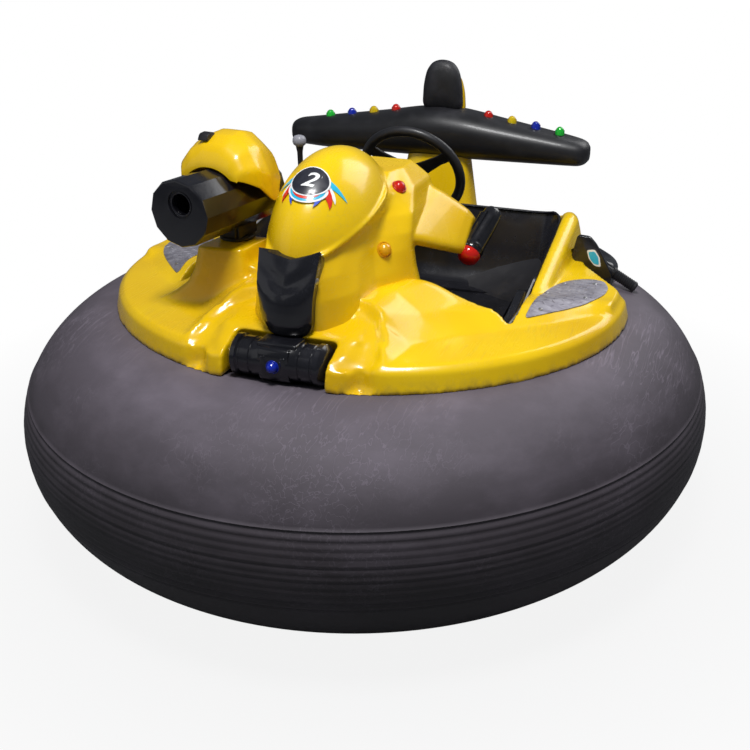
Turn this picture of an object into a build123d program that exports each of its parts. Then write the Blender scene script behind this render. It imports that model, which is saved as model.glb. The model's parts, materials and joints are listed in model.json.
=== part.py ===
"""Inflatable-ring bumper car: a moulded body seated in a huge inner tube.

Millimetres. The front of the car is -Y, its left side +X, +Z is up. The origin
lies on the floor under the centre of the tube.
"""
from build123d import *
import os
from math import cos, sin, radians

# ---- Bumper tube -------------------------------------------------------------------
TUBE_OUTER_RADIUS = 975.0
TUBE_SECTION_RADIUS = 282.0
TUBE_FLOOR_GAP = 30.0
RIB_HEIGHT = 4.0
# rib angle above the widest circle (deg)
RIB_ANGLES = (23.5, 19.8, 16.0, 12.5, 8.4, 2.2, -3.1, -7.6, -12.7)
TUBE_HOLE_RADIUS = TUBE_OUTER_RADIUS - 2 * TUBE_SECTION_RADIUS
TUBE_TOP = TUBE_FLOOR_GAP + 2 * TUBE_SECTION_RADIUS
VALVE_RADIUS = 8.0
VALVE_LENGTH = 40.0
VALVE_ANGLE = -35.0

# ---- Chassis and running gear ------------------------------------------------------
FRAME_GAP = 21.0
FRAME_RADIUS = TUBE_HOLE_RADIUS - FRAME_GAP
FRAME_RAIL = 45.0
FRAME_TOP = 250.0
FRAME_BEAM_WIDTH = 90.0
RUNNING_GAP = 0.5
PIN_CLEARANCE = 0.05
WHEEL_SIDE_GAP = 8.0
FORK_PLATE = 8.0
FORK_CROWN_HALF = 45.0
FORK_CHEEK_HALF = 34.0
BRACKET_HALF = 32.0
# radii of the axle that a cheek reaches below it
CHEEK_BELOW_AXLE = 2.4
AXLE_STUB = 5.0

DRIVE_RADIUS = 88.0
DRIVE_WIDTH = 50.0
DRIVE_Y = -190.0
DRIVE_RIM_RADIUS = 54.0
DRIVE_AXLE_RADIUS = 10.0
STEM_RADIUS = 28.0
MOTOR_RADIUS = 48.0
MOTOR_LENGTH = 105.0
MOTOR_FLANGE = (40.0, 16.0)

REAR_RADIUS = 80.0
REAR_WIDTH = 42.0
REAR_X = FRAME_RADIUS - 165.0
REAR_Y = FRAME_RADIUS - 175.0
REAR_RIM_RADIUS = 50.0
REAR_AXLE_RADIUS = 9.0

# ---- Floor tub and battery ---------------------------------------------------------
TUB_WALL = 5.0
TUB_FLOOR_RADIUS = TUBE_HOLE_RADIUS - 31.0
TUB_WAIST_RADIUS = TUBE_HOLE_RADIUS - 19.0
TUB_WAIST_Z = TUBE_TOP - 124.0
TUB_RIM_Z = TUBE_TOP + 46.0
TUB_RIM_FRONT = -400.0
TUB_RIM_SLACK = 20.0
BATTERY = (1.105 * TUB_FLOOR_RADIUS, 0.63 * TUB_FLOOR_RADIUS, 170.0)
BATTERY_Y = 0.5 * TUB_FLOOR_RADIUS
PEDAL_SIZE = (110.0, 150.0, 12.0)
PEDAL_Y = -0.618 * TUB_FLOOR_RADIUS
PEDAL_TILT = 35.0

# ---- Moulded body ------------------------------------------------------------------
BODY_WALL = 8.0
BODY_HALF_WIDTH = 735.0
BODY_HALF_LENGTH = 665.0
# corners of the outline behind the widest place
REAR_OUTLINE = ((735.0, 40.0), (590.0, 255.0), (585.0, 490.0), (470.0, 612.0))
REAR_CORNER_RADIUS = 45.0
SKIRT_BOTTOM = TUBE_TOP
DECK_TOP = SKIRT_BOTTOM + 78.0
SKIRT_DRAFT = 16.0
SHOULDER_DROP = 14.0
SHOULDER_RUN = 26.0

COWL_REAR = 45.0
# height, half width, front edge (distance ahead of centre), corner radius
COWL_SECTIONS = (
    (672.0, 225.0, 536.0, 110.0),
    (735.0, 165.0, 530.0, 90.0),
    (840.0, 138.0, 514.0, 75.0),
    (920.0, 118.0, 470.0, 70.0),
    (975.0, 92.0, 380.0, 60.0),
)
FOOTWELL_HALF_WIDTH = 105.0
LEGROOM_HALF_WIDTH = 125.0
LEGROOM_FRONT = -380.0
FOOTWELL_TOP = 705.0

NOSE_Y = -262.0
NOSE_Z = 918.0
NOSE_HALF_LENGTH = 236.0
NOSE_RADIUS = 140.0
NOSE_TILT = 15.0

# ---- Arms and their side lamps -----------------------------------------------------
# distance from the middle, then Y and Z of six corners: rear top, front top, crease, lower front,
# lower rear and rear
ARM_SECTIONS = (
    (60.0, (20.0, 945.0), (0.0, 960.0), (-110.0, 880.0), (-70.0, 775.0), (20.0, 760.0), (35.0, 880.0)),
    (130.0, (35.0, 925.0), (0.0, 938.0), (-100.0, 856.0), (-60.0, 774.0), (30.0, 762.0), (48.0, 880.0)),
    (200.0, (52.0, 893.0), (10.0, 905.0), (-75.0, 830.0), (-50.0, 764.0), (45.0, 758.0), (65.0, 860.0)),
    (262.0, (66.0, 844.0), (30.0, 855.0), (-42.0, 796.0), (-22.0, 748.0), (60.0, 746.0), (80.0, 824.0)),
    (286.0, (72.0, 816.0), (45.0, 824.0), (-10.0, 786.0), (2.0, 750.0), (66.0, 748.0), (80.0, 798.0)),
    (310.0, (66.0, 806.0), (48.0, 812.0), (28.0, 798.0), (30.0, 768.0), (60.0, 766.0), (72.0, 790.0)),
)
POD_RADIUS = 32.0
POD_LENGTH = 165.0
POD_TILT = 34.0
POD_TOE = 15.0
POD_CENTRE = (305.0, 49.0, 794.0)
POD_LENS_RADIUS = 34.0
POD_COLLAR = 8.0

# ---- Lamps, bar and grille on the nose ---------------------------------------------
BAR_RADIUS = 50.0
BAR_HALF_LENGTH = 121.0
BAR_Y = -596.0
BAR_Z = 635.0
BAR_GAP = 6.0
BAR_HOUSING_HALF = 36.0
BAR_CAP_WIDTH = 26.0
BAR_RELIEF = 4.0
BAR_STUB = (60.0, 22.0)
BLUE_LAMP_RADIUS = 17.0
BLUE_LAMP_SINK = 6.0
LAMP_COLLAR = 12.0
DOME_LAMP_RADIUS = 21.0
# place of the left lamp and the angle it leans outwards
RED_LAMP = (132.0, -170.0, 950.0, 75.0)
AMBER_LAMP = (136.0, -306.0, 826.0, 72.0)
GRILLE_HALF_WIDTH = 69.0
GRILLE_THICKNESS = 22.0
GRILLE_BOTTOM = 690.0
GRILLE_TOP = 862.0
GRILLE_CHIN = 26.0
GRILLE_WAIST = 90.0
GRILLE_NOTCH = 16.0
GRILLE_SLAB = (440.0, 200.0)

# ---- Cannon ------------------------------------------------------------------------
CANNON_PIVOT = (-290.0, -255.0)
CANNON_Z = 918.0
CANNON_YAW = 7.0
BARREL_RADIUS = 85.0
BARREL_LENGTH = 335.0
BARREL_AHEAD = 222.0
BARREL_SIDES = 12
BARREL_TAIL_CHAMFER = 22.0
BORE_RADIUS = 26.0
BORE_DEPTH = 190.0
BORE_LIFT = 26.0
MUZZLE_STEP_RADIUS = 34.0
MUZZLE_STEP_DEPTH = 6.0
PEDESTAL_TOP = 800.0
PEDESTAL_BASE = (215.0, 166.0)
PEDESTAL_BASE_SHIFT = (8.0, -62.0)
PEDESTAL_HEAD = (130.0, 160.0)
PEDESTAL_HEAD_SHIFT = (-5.0, -25.0)
PEDESTAL_CORNER = 22.0
SWIVEL_RADIUS = 48.0
SWIVEL_HEIGHT = 10.0
SWIVEL_POST = (60.0, 100.0)
# distance behind the pivot, half width, rim height, crest height
HOOD_SECTIONS = (
    (-92.0, 92.0, 62.0, 118.0),
    (-60.0, 108.0, 45.0, 150.0),
    (-10.0, 116.0, 8.0, 168.0),
    (50.0, 104.0, -30.0, 158.0),
    (110.0, 86.0, -38.0, 118.0),
    (150.0, 62.0, -20.0, 70.0),
)

# ---- Steering ----------------------------------------------------------------------
WHEEL_HUB_Y = 330.0
WHEEL_HUB_Z = 872.0
WHEEL_TILT = 25.0
WHEEL_RADIUS = 158.0
WHEEL_GRIP_RADIUS = 13.0
WHEEL_HUB_RADIUS = 30.0
WHEEL_HUB_LENGTH = 34.0
SPOKE_WIDTH = 22.0
SPOKE_THICKNESS = 7.0
SPOKE_ANGLES = (35.0, 145.0, 270.0)
COLUMN_RADIUS = 20.0
COLUMN_LENGTH = 335.0
SHAFT_RADIUS = 9.0
SHAFT_STUB = 14.0

# ---- Seat, column, wing and headrest -----------------------------------------------
SEAT_WALL = 14.0
SEAT_BOTTOM = TUB_WAIST_Z
SEAT_PAN = 20.0
SEAT_FRONT = 45.0
SEAT_BASE_RADIUS = TUB_WAIST_RADIUS - 14.0
SEAT_HALF_WIDTH = 467.0
SEAT_REAR = 500.0
SEAT_CORNER = 100.0
SEAT_LIP_Z = TUB_RIM_Z + 10.0
# height of the sloping edge at the rear of the seat, and its fall towards the front
SEAT_REAR_TOP = 764.0
SEAT_EDGE_SLOPE = 0.172
LINER_BOTTOM = 628.0
OPENING_GAP = 9.0
# right half of the cockpit's front edge, from the cowl to the outer corner
COCKPIT_EDGE = ((155.0, -170.0), (175.0, -226.0), (337.0, -224.0), (438.0, -252.0))
COCKPIT_FRONT = -290.0
COCKPIT_FILLET = 16.0
SURROUND_FRONT = -60.0
SURROUND_RISE = 15.0
# width beyond the seat at the deck and at the top of the bolster
SURROUND_FOOT = 66.0
SURROUND_CREST = 26.0
SURROUND_CREST_Z = 800.0
SLOPE_REACH = 400.0

REAR_COLUMN_BOTTOM = (300.0, 150.0)
REAR_COLUMN_TOP = (192.0, 96.0)
REAR_COLUMN_Y = 580.0
REAR_COLUMN_CORNERS = (40.0, 34.0)
REAR_COLUMN_AHEAD = 20.0
REAR_COLUMN_SINK = 60.0
WING_Y = 640.0
# distance from the middle, underside, crest, chord
WING_SECTIONS = (
    (0.0, 868.0, 1036.0, 230.0),
    (200.0, 867.0, 1012.0, 210.0),
    (430.0, 868.0, 976.0, 165.0),
    (530.0, 880.0, 936.0, 110.0),
)
WING_LAMP_RADIUS = 14.0
WING_LAMP_FIRST = 163.0
WING_LAMP_PITCH = 81.0
WING_LAMP_COLOURS = ("red", "yellow", "blue", "green")
WING_LAMP_SINK = 6.0
WING_LAMP_AHEAD = 12.0
# right half of the pad's arch, from its foot
HEADREST_ARCH = ((60.0, 0.0), (70.0, 20.0), (66.0, 85.0), (55.0, 130.0), (36.0, 156.0), (12.0, 165.0))
HEADREST_DEPTH = 62.0
HEADREST_BASE = 1022.0
HEADREST_AHEAD = 5.0

# ---- Rear cover, footplates, control stick -----------------------------------------
# width beyond the seat and height down the apron
APRON_PROFILE = ((108.0, 740.0), (126.0, 724.0), (152.0, 689.0), (190.0, 606.0))
APRON_WALL = 7.0
APRON_FRONT = 250.0
HANDLE_RADIUS = 18.0
HANDLE_ROOT = (612.0, 300.0, 668.0)
HANDLE_END = (728.0, 288.0, 618.0)
FOOTPLATE_THICKNESS = 3.0
FOOTPLATE_FILLET = 12.0
FOOTPLATE_OUTLINE = ((505.0, -232.0), (600.0, -150.0), (640.0, -60.0), (655.0, 60.0), (610.0, 92.0),
                     (560.0, 50.0), (512.0, -60.0))
STICK_X = -460.0
STICK_Y = 483.0
STICK_RADIUS = 8.0
STICK_TOP = 930.0
BOOT_RADIUS = 26.0
BOOT_HEIGHT = 28.0
GRIP_RADIUS = 20.0
GRIP_LENGTH = 105.0

TUBE_RING_RADIUS = TUBE_OUTER_RADIUS - TUBE_SECTION_RADIUS
TUBE_CENTRE_Z = TUBE_FLOOR_GAP + TUBE_SECTION_RADIUS

# beyond every part, for cutters
REACH = 1200.0

parts = {}


def at(x, y, z):
    """Location at one point, unturned."""
    return Location((x, y, z))


def upright(radius, bottom, top, x=0.0, y=0.0):
    """Vertical cylinder between two heights."""
    return at(x, y, (bottom + top) / 2) * Cylinder(radius, top - bottom)


def across(radius, x_from, x_to, y, z):
    """Cylinder lying along X between two places."""
    middle = (x_from + x_to) / 2
    return at(middle, y, z) * Rot(0, 90, 0) * Cylinder(radius, abs(x_to - x_from))


def block(x_span, y_span, z_span):
    """Box from its three pairs of limits."""
    size = [b - a for a, b in (x_span, y_span, z_span)]
    centre = [(a + b) / 2 for a, b in (x_span, y_span, z_span)]
    return at(*centre) * Box(*size)


def mirrored(shape):
    """The same piece on the other side of the car."""
    return mirror(shape, about=Plane.YZ)


def dome(radius, base):
    """Lens: a short collar with a half ball on it, standing on z = 0."""
    ball = at(0, 0, base) * Sphere(radius)
    keep = at(0, 0, base + radius) * Box(4 * radius, 4 * radius, 2 * radius)
    return (ball & keep) + at(0, 0, base / 2) * Cylinder(radius, base)


# ---- Bumper tube -------------------------------------------------------------------
def tube_point(angle, extra=0.0):
    """Radius and height of a point on the tube's skin."""
    reach = TUBE_SECTION_RADIUS + extra
    turn = radians(angle)
    return TUBE_RING_RADIUS + reach * cos(turn), TUBE_CENTRE_Z + reach * sin(turn)


def bumper_tube():
    """Torus with fine raised bands round its widest part."""
    section = Pos(TUBE_RING_RADIUS, TUBE_CENTRE_Z) * Circle(TUBE_SECTION_RADIUS)
    for angle in RIB_ANGLES:
        section += Pos(*tube_point(angle)) * Circle(RIB_HEIGHT)
    return revolve(Plane.XZ * section, Axis.Z)


def tube_valve():
    """Valve stem that leaves the inner side of the tube."""
    radius, z = tube_point(180 - VALVE_ANGLE, -2)
    lean = Rot(0, 180 - VALVE_ANGLE - 90, 0)
    return at(-radius, 0, z) * lean * Cylinder(VALVE_RADIUS, VALVE_LENGTH)


# ---- Chassis -----------------------------------------------------------------------
FRAME_BOTTOM = FRAME_TOP - FRAME_RAIL
FORK_TOP = FRAME_BOTTOM - RUNNING_GAP
FORK_HALF = DRIVE_WIDTH / 2 + WHEEL_SIDE_GAP
REAR_HALF = REAR_WIDTH / 2 + WHEEL_SIDE_GAP


def rear_bracket(side):
    """Two cheeks and the axle that carry one rear wheel."""
    x = side * REAR_X
    body = None
    for cheek in (-1, 1):
        inner = x + cheek * REAR_HALF
        outer = x + cheek * (REAR_HALF + FORK_PLATE)
        span = (min(inner, outer), max(inner, outer))
        low = REAR_RADIUS - CHEEK_BELOW_AXLE * REAR_AXLE_RADIUS
        plate = block(span, (REAR_Y - BRACKET_HALF, REAR_Y + BRACKET_HALF), (low, FRAME_BOTTOM))
        body = plate if body is None else body + plate
    reach = REAR_HALF + FORK_PLATE + AXLE_STUB
    return body + across(REAR_AXLE_RADIUS, x - reach, x + reach, REAR_Y, REAR_RADIUS)


def chassis_frame():
    """Round rail with beams, a stem housing and the rear brackets."""
    rail = upright(FRAME_RADIUS, FRAME_BOTTOM, FRAME_TOP)
    rail -= upright(FRAME_RADIUS - FRAME_RAIL, FRAME_BOTTOM - 1, FRAME_TOP + 1)
    disc = upright(FRAME_RADIUS, FRAME_BOTTOM, FRAME_TOP)
    half = FRAME_BEAM_WIDTH / 2
    beams = None
    for y in (DRIVE_Y, REAR_Y):
        beam = block((-FRAME_RADIUS, FRAME_RADIUS), (y - half, y + half), (FRAME_BOTTOM, FRAME_TOP))
        beams = beam if beams is None else beams + beam
    spine = block((-half, half), (DRIVE_Y, REAR_Y), (FRAME_BOTTOM, FRAME_TOP))
    frame = rail + ((beams + spine) & disc)
    frame -= upright(STEM_RADIUS + PIN_CLEARANCE, FRAME_BOTTOM - 1, FRAME_TOP + 1, 0, DRIVE_Y)
    for side in (-1, 1):
        frame += rear_bracket(side)
    return frame


def drive_fork():
    """Steered fork with its stem and the drive axle."""
    half = FORK_HALF + FORK_PLATE
    top = block((-half, half), (DRIVE_Y - FORK_CROWN_HALF, DRIVE_Y + FORK_CROWN_HALF),
                (FORK_TOP - 2 * FORK_PLATE, FORK_TOP))
    fork = top + upright(STEM_RADIUS, FORK_TOP, FRAME_TOP - 2, 0, DRIVE_Y)
    for side in (-1, 1):
        inner, outer = side * FORK_HALF, side * (FORK_HALF + FORK_PLATE)
        low = DRIVE_RADIUS - CHEEK_BELOW_AXLE * DRIVE_AXLE_RADIUS
        fork += block((min(inner, outer), max(inner, outer)),
                      (DRIVE_Y - FORK_CHEEK_HALF, DRIVE_Y + FORK_CHEEK_HALF),
                      (low, FORK_TOP - 2 * FORK_PLATE))
    return fork + across(DRIVE_AXLE_RADIUS, -half, half, DRIVE_Y, DRIVE_RADIUS)


def drive_motor():
    """Gear motor bolted to the left cheek of the fork."""
    start = FORK_HALF + FORK_PLATE
    flange_radius, flange_width = MOTOR_FLANGE
    can = across(MOTOR_RADIUS, start + flange_width, start + MOTOR_LENGTH, DRIVE_Y, DRIVE_RADIUS)
    return can + across(flange_radius, start, start + flange_width, DRIVE_Y, DRIVE_RADIUS)


def tyre(radius, rim, width, x, y):
    """Solid rubber tyre with rounded shoulders."""
    ring = Cylinder(radius, width) - Cylinder(rim, width + 2)
    edges = [e for e in ring.edges().filter_by(GeomType.CIRCLE) if e.radius > rim + 1]
    ring = fillet(edges, min(width / 5, (radius - rim) / 3))
    return at(x, y, radius) * Rot(0, 90, 0) * ring


def rim(radius, rim_radius, bore, width, x, y):
    """Wheel centre with a turned recess and its bore."""
    disc = Cylinder(rim_radius, width)
    for side in (-1, 1):
        recess = Cylinder(rim_radius - 8, width / 4) - Cylinder(bore + 10, width / 4)
        disc -= at(0, 0, side * width * 3 / 8) * recess
    disc -= Cylinder(bore + PIN_CLEARANCE, width + 2)
    return at(x, y, radius) * Rot(0, 90, 0) * disc


# ---- Tub ---------------------------------------------------------------------------
def round_plan(z, radius):
    """Circle drawn as four corners, so that it lofts to a bucket's plan."""
    return Plane.XY.offset(z) * RectangleRounded(2 * radius, 2 * radius, radius - 1)


def bucket_plan(z, grow, front=COCKPIT_FRONT):
    """Plan of the seat's upper part, grown by a margin: straight sides and back, rounded corners."""
    length = SEAT_REAR - front + 2 * grow
    plan = RectangleRounded(2 * (SEAT_HALF_WIDTH + grow), length, SEAT_CORNER + grow)
    return Plane.XY.offset(z) * (Pos(0, (SEAT_REAR + front) / 2) * plan)


def tub_form(inset):
    """Cup of the floor with the funnel that opens out to the cockpit, drawn in by a wall."""
    floor = FRAME_TOP + inset
    grow = TUB_RIM_SLACK - inset
    waist = round_plan(TUB_WAIST_Z, TUB_WAIST_RADIUS - inset)
    rim = bucket_plan(TUB_RIM_Z, grow, TUB_RIM_FRONT)
    cup = loft([round_plan(floor, TUB_FLOOR_RADIUS - inset), waist], ruled=True)
    collar = extrude(rim, DECK_TOP - BODY_WALL - TUB_RIM_Z + inset)
    return cup + loft([waist, rim], ruled=True) + collar


def floor_tub():
    """Tub that lines the hole of the tube and carries driver and battery."""
    shell = tub_form(0) - tub_form(TUB_WALL)
    return shell & block((-REACH, REACH), (-REACH, REACH), (FRAME_TOP, DECK_TOP - BODY_WALL))


def battery_block():
    """Battery box on the tub floor under the seat."""
    width, length, height = BATTERY
    floor = FRAME_TOP + TUB_WALL
    return block((-width / 2, width / 2), (BATTERY_Y - length / 2, BATTERY_Y + length / 2),
                 (floor, floor + height))


def pedal():
    """Foot pedal on a wedge that stands on the tub floor."""
    width, length, thick = PEDAL_SIZE
    floor = FRAME_TOP + TUB_WALL
    rise = length * sin(radians(PEDAL_TILT))
    run = length * cos(radians(PEDAL_TILT))
    side = make_face(Polyline((0, 0), (run, 0), (0, rise), close=True))
    wedge = extrude(Plane.YZ * side, width / 2, both=True)
    return at(0, PEDAL_Y - run / 2, floor) * wedge


# ---- Body --------------------------------------------------------------------------
def deck_outline(z, inset):
    """Plan of the body: an oval front and a rear that narrows behind the steps."""
    k = 1 - inset / BODY_HALF_LENGTH

    def front(turn):
        return (k * BODY_HALF_WIDTH * sin(radians(turn)), -k * BODY_HALF_LENGTH * cos(radians(turn)))

    arcs = [ThreePointArc(front(t), front(t + 22.5), front(t + 45)) for t in (-90, -45, 0, 45)]
    rear = [(k * x, k * y) for x, y in REAR_OUTLINE]
    left = [(-x, y) for x, y in rear[::-1]]
    back = Polyline(front(90), *rear, *left, front(-90))
    face = make_face(Curve() + arcs + back)
    corners = [v for v in face.vertices() if v.Y > 1]
    return Plane.XY.offset(z) * fillet(corners, k * REAR_CORNER_RADIUS)


def deck_form(inset):
    """Skirt and deck as one solid, drawn in by a wall."""
    top = DECK_TOP - inset
    bottom = SKIRT_BOTTOM - (10 if inset else 0)
    edge = inset + SKIRT_DRAFT
    skirt = loft([deck_outline(bottom, inset), deck_outline(top - SHOULDER_DROP, edge)], ruled=True)
    cap = loft([deck_outline(top - SHOULDER_DROP, edge), deck_outline(top, edge + SHOULDER_RUN)], ruled=True)
    return skirt + cap


def cockpit_plan(inset):
    """Plan of the cockpit's edge, drawn in by a margin."""
    half = SEAT_HALF_WIDTH + OPENING_GAP
    rear = SEAT_REAR + OPENING_GAP
    right = [*COCKPIT_EDGE, (half, COCKPIT_FRONT), (half, rear)]
    left = [(-x, y) for x, y in right[::-1]]
    face = make_face(Polyline(*right, *left, close=True))
    face = fillet([v for v in face.vertices() if v.Y > 0], SEAT_CORNER + OPENING_GAP)
    corners = [v for v in face.vertices() if v.Y < 0 and abs(v.X) > COCKPIT_EDGE[1][0] + 1]
    face = fillet(corners, COCKPIT_FILLET)
    return offset(face, amount=-inset, kind=Kind.INTERSECTION) if inset else face


def cockpit_opening():
    """Cutter for the hole in the deck over seat and foot well."""
    hole = extrude(Plane.XY.offset(SKIRT_BOTTOM) * cockpit_plan(0), 2 * (DECK_TOP - SKIRT_BOTTOM))
    legs = block((-LEGROOM_HALF_WIDTH, LEGROOM_HALF_WIDTH), (LEGROOM_FRONT, 0),
                 (SKIRT_BOTTOM, 2 * DECK_TOP - SKIRT_BOTTOM))
    return hole + legs


def bar_recess():
    """Notch in the skirt that the lamp bar lies in."""
    half = BAR_HALF_LENGTH + BAR_GAP
    return block((-half, half), (BAR_Y - 200, BAR_Y + BAR_RADIUS + BAR_GAP),
                 (SKIRT_BOTTOM - 20, DECK_TOP + 5))


def body_shell():
    """Yellow lower body: skirt and deck, open below and over the cockpit."""
    shell = deck_form(0) - deck_form(BODY_WALL)
    shell -= cockpit_opening()
    shell -= bar_recess()
    half = BAR_HALF_LENGTH + BAR_GAP
    back = BAR_Y + BAR_RADIUS + BAR_GAP
    wall = block((-half - BODY_WALL, half + BODY_WALL), (back, back + BODY_WALL), (SKIRT_BOTTOM, DECK_TOP))
    for side in (-1, 1):
        inner, outer = side * half, side * (half + BODY_WALL)
        wall += block((min(inner, outer), max(inner, outer)), (-BODY_HALF_LENGTH, back + BODY_WALL),
                      (SKIRT_BOTTOM, DECK_TOP))
    return shell + (wall & deck_form(0))


def cowl_form(inset):
    """Upper front body as stacked plan sections."""
    sections = []
    for z, half, front, radius in COWL_SECTIONS:
        a = half - inset
        depth = front + COWL_REAR - 2 * inset
        centre = (COWL_REAR - front) / 2
        plan = RectangleRounded(2 * a, depth, min(radius, a - 2) - inset / 2)
        height = z - (inset if z > DECK_TOP else 0)
        sections.append(Plane.XY.offset(height) * (Pos(0, centre) * plan))
    return loft(sections, ruled=True)


def nose_form(inset):
    """Egg-shaped bulge of the nose."""
    a, b = NOSE_HALF_LENGTH - inset, NOSE_RADIUS - inset
    half = Ellipse(a, b) & (Pos(0, b) * Rectangle(4 * a, 2 * b))
    egg = revolve(half, Axis.X)
    return at(0, NOSE_Y, NOSE_Z) * Rot(NOSE_TILT, 0, 0) * Rot(0, 0, 90) * egg


def cowl():
    """Hollow cowl with the nose bulge and a foot well open to the rear."""
    shell = cowl_form(0) + nose_form(0)
    shell -= cowl_form(BODY_WALL) + nose_form(BODY_WALL)
    shell -= block((-FOOTWELL_HALF_WIDTH, FOOTWELL_HALF_WIDTH), (COWL_REAR - 60, COWL_REAR + 10),
                   (DECK_TOP - 5, FOOTWELL_TOP))
    return shell


# ---- Arms --------------------------------------------------------------------------
def arm():
    """Creased arm from the cowl to the left side lamp."""
    faces = [make_face(Polyline(*corners, close=True)) for _, *corners in ARM_SECTIONS]
    planes = [Plane.YZ.offset(x) for x, *_ in ARM_SECTIONS]
    return loft([plane * face for plane, face in zip(planes, faces)], ruled=True)


def pod_plane():
    """Frame of the side lamp: its axis points forward, down and a little inwards."""
    return at(*POD_CENTRE) * Rot(0, 0, -POD_TOE) * Rot(90 + POD_TILT, 0, 0)


def pod():
    """Black barrel of the side lamp."""
    body = Cylinder(POD_RADIUS, POD_LENGTH)
    return pod_plane() * fillet(body.edges().group_by(Axis.Z)[0], 8)


def pod_lens():
    """Red dome at the front end of the side lamp."""
    return pod_plane() * at(0, 0, POD_LENGTH / 2) * dome(POD_LENS_RADIUS, POD_COLLAR)


# ---- Lamp bar and grille -----------------------------------------------------------
def lamp_bar():
    """Cylinder across the nose with end caps and a middle housing."""
    bar = across(BAR_RADIUS - BAR_RELIEF, -BAR_HALF_LENGTH, BAR_HALF_LENGTH, BAR_Y, BAR_Z)
    for x in (-BAR_HALF_LENGTH, BAR_HALF_LENGTH - BAR_CAP_WIDTH):
        bar += across(BAR_RADIUS, x, x + BAR_CAP_WIDTH, BAR_Y, BAR_Z)
    bar += across(BAR_RADIUS, -BAR_HOUSING_HALF, BAR_HOUSING_HALF, BAR_Y, BAR_Z)
    half, rise = BAR_STUB
    return bar + block((-half, half), (BAR_Y, BAR_Y + BAR_RADIUS + BAR_GAP), (BAR_Z - rise, BAR_Z + rise))


def blue_lamp():
    """Dome lamp in the middle of the bar."""
    lens = dome(BLUE_LAMP_RADIUS, LAMP_COLLAR)
    return at(0, BAR_Y - BAR_RADIUS + BLUE_LAMP_SINK, BAR_Z) * Rot(90, 0, 0) * lens


def grille_plate():
    """Saddle-shaped plate on the front of the cowl."""
    half = GRILLE_HALF_WIDTH
    low, high = GRILLE_BOTTOM, GRILLE_TOP
    right = [(0.62 * half, low), (half, low + GRILLE_CHIN), (0.86 * half, low + GRILLE_WAIST), (half, high),
             (0.5 * half, high), (0.25 * half, high - GRILLE_NOTCH)]
    left = [(-x, z) for x, z in right[::-1]]
    start, depth = GRILLE_SLAB
    slab = extrude(Plane.XZ.offset(start) * make_face(Polyline(*right, *left, close=True)), depth)
    outer = cowl_form(-GRILLE_THICKNESS)
    return (slab & outer) - cowl_form(0) - nose_form(0)


# ---- Cannon ------------------------------------------------------------------------
def cannon_frame():
    """Frame on the pivot: its -Y points along the barrel to the muzzle."""
    return Location((CANNON_PIVOT[0], CANNON_PIVOT[1], CANNON_Z), (0, 0, -CANNON_YAW))


def cannon_pedestal():
    """Yellow pedestal that carries the cannon's swivel."""
    x, y = CANNON_PIVOT
    plans = []
    for z, size, shift in ((DECK_TOP, PEDESTAL_BASE, PEDESTAL_BASE_SHIFT),
                           (PEDESTAL_TOP, PEDESTAL_HEAD, PEDESTAL_HEAD_SHIFT)):
        plan = Pos(x + shift[0], y + shift[1]) * RectangleRounded(*size, PEDESTAL_CORNER)
        plans.append(Plane.XY.offset(z) * plan)
    return loft(plans, ruled=True)


def barrel_bar():
    """Barrel without its bore, lying along the cannon's frame."""
    lay = at(0, BARREL_LENGTH - BARREL_AHEAD, 0) * Rot(90, 0, 0)
    bar = extrude(RegularPolygon(BARREL_RADIUS, BARREL_SIDES), BARREL_LENGTH)
    return lay * chamfer(bar.edges().group_by(Axis.Z)[0], BARREL_TAIL_CHAMFER)


def cannon_barrel():
    """Faceted barrel with a stepped bore."""
    muzzle = -BARREL_AHEAD
    barrel = barrel_bar()
    for radius, depth in ((BORE_RADIUS, BORE_DEPTH), (MUZZLE_STEP_RADIUS, MUZZLE_STEP_DEPTH)):
        barrel -= at(0, muzzle + depth / 2, BORE_LIFT) * Rot(90, 0, 0) * Cylinder(radius, depth)
    return cannon_frame() * barrel


def cannon_bracket():
    """Swivel block between pedestal and barrel."""
    bottom = PEDESTAL_TOP + RUNNING_GAP - CANNON_Z
    post = at(0, 0, bottom / 2) * Box(*SWIVEL_POST, -bottom)
    flange = at(0, 0, bottom + SWIVEL_HEIGHT / 2) * Cylinder(SWIVEL_RADIUS, SWIVEL_HEIGHT)
    return cannon_frame() * (post + flange - barrel_bar())


def cannon_hood():
    """Yellow faceted shroud over the barrel."""
    sections = []
    for back, half, rim_z, crest in HOOD_SECTIONS:
        shoulder = rim_z + 0.4 * (crest - rim_z)
        brow = rim_z + 0.86 * (crest - rim_z)
        side = [(half, rim_z), (half, shoulder), (0.66 * half, brow), (0.2 * half, crest)]
        face = make_face(Polyline(*side, *[(-x, z) for x, z in side[::-1]], close=True))
        sections.append(Plane(origin=(0, back, 0), x_dir=(1, 0, 0), z_dir=(0, -1, 0)) * face)
    return cannon_frame() * (loft(sections, ruled=True) - barrel_bar())


# ---- Steering ----------------------------------------------------------------------
def wheel_frame():
    """Frame on the hub: +Z points up the shaft to the driver."""
    turn = radians(WHEEL_TILT)
    return Plane(origin=(0, WHEEL_HUB_Y, WHEEL_HUB_Z), x_dir=(1, 0, 0), z_dir=(0, cos(turn), sin(turn)))


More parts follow.
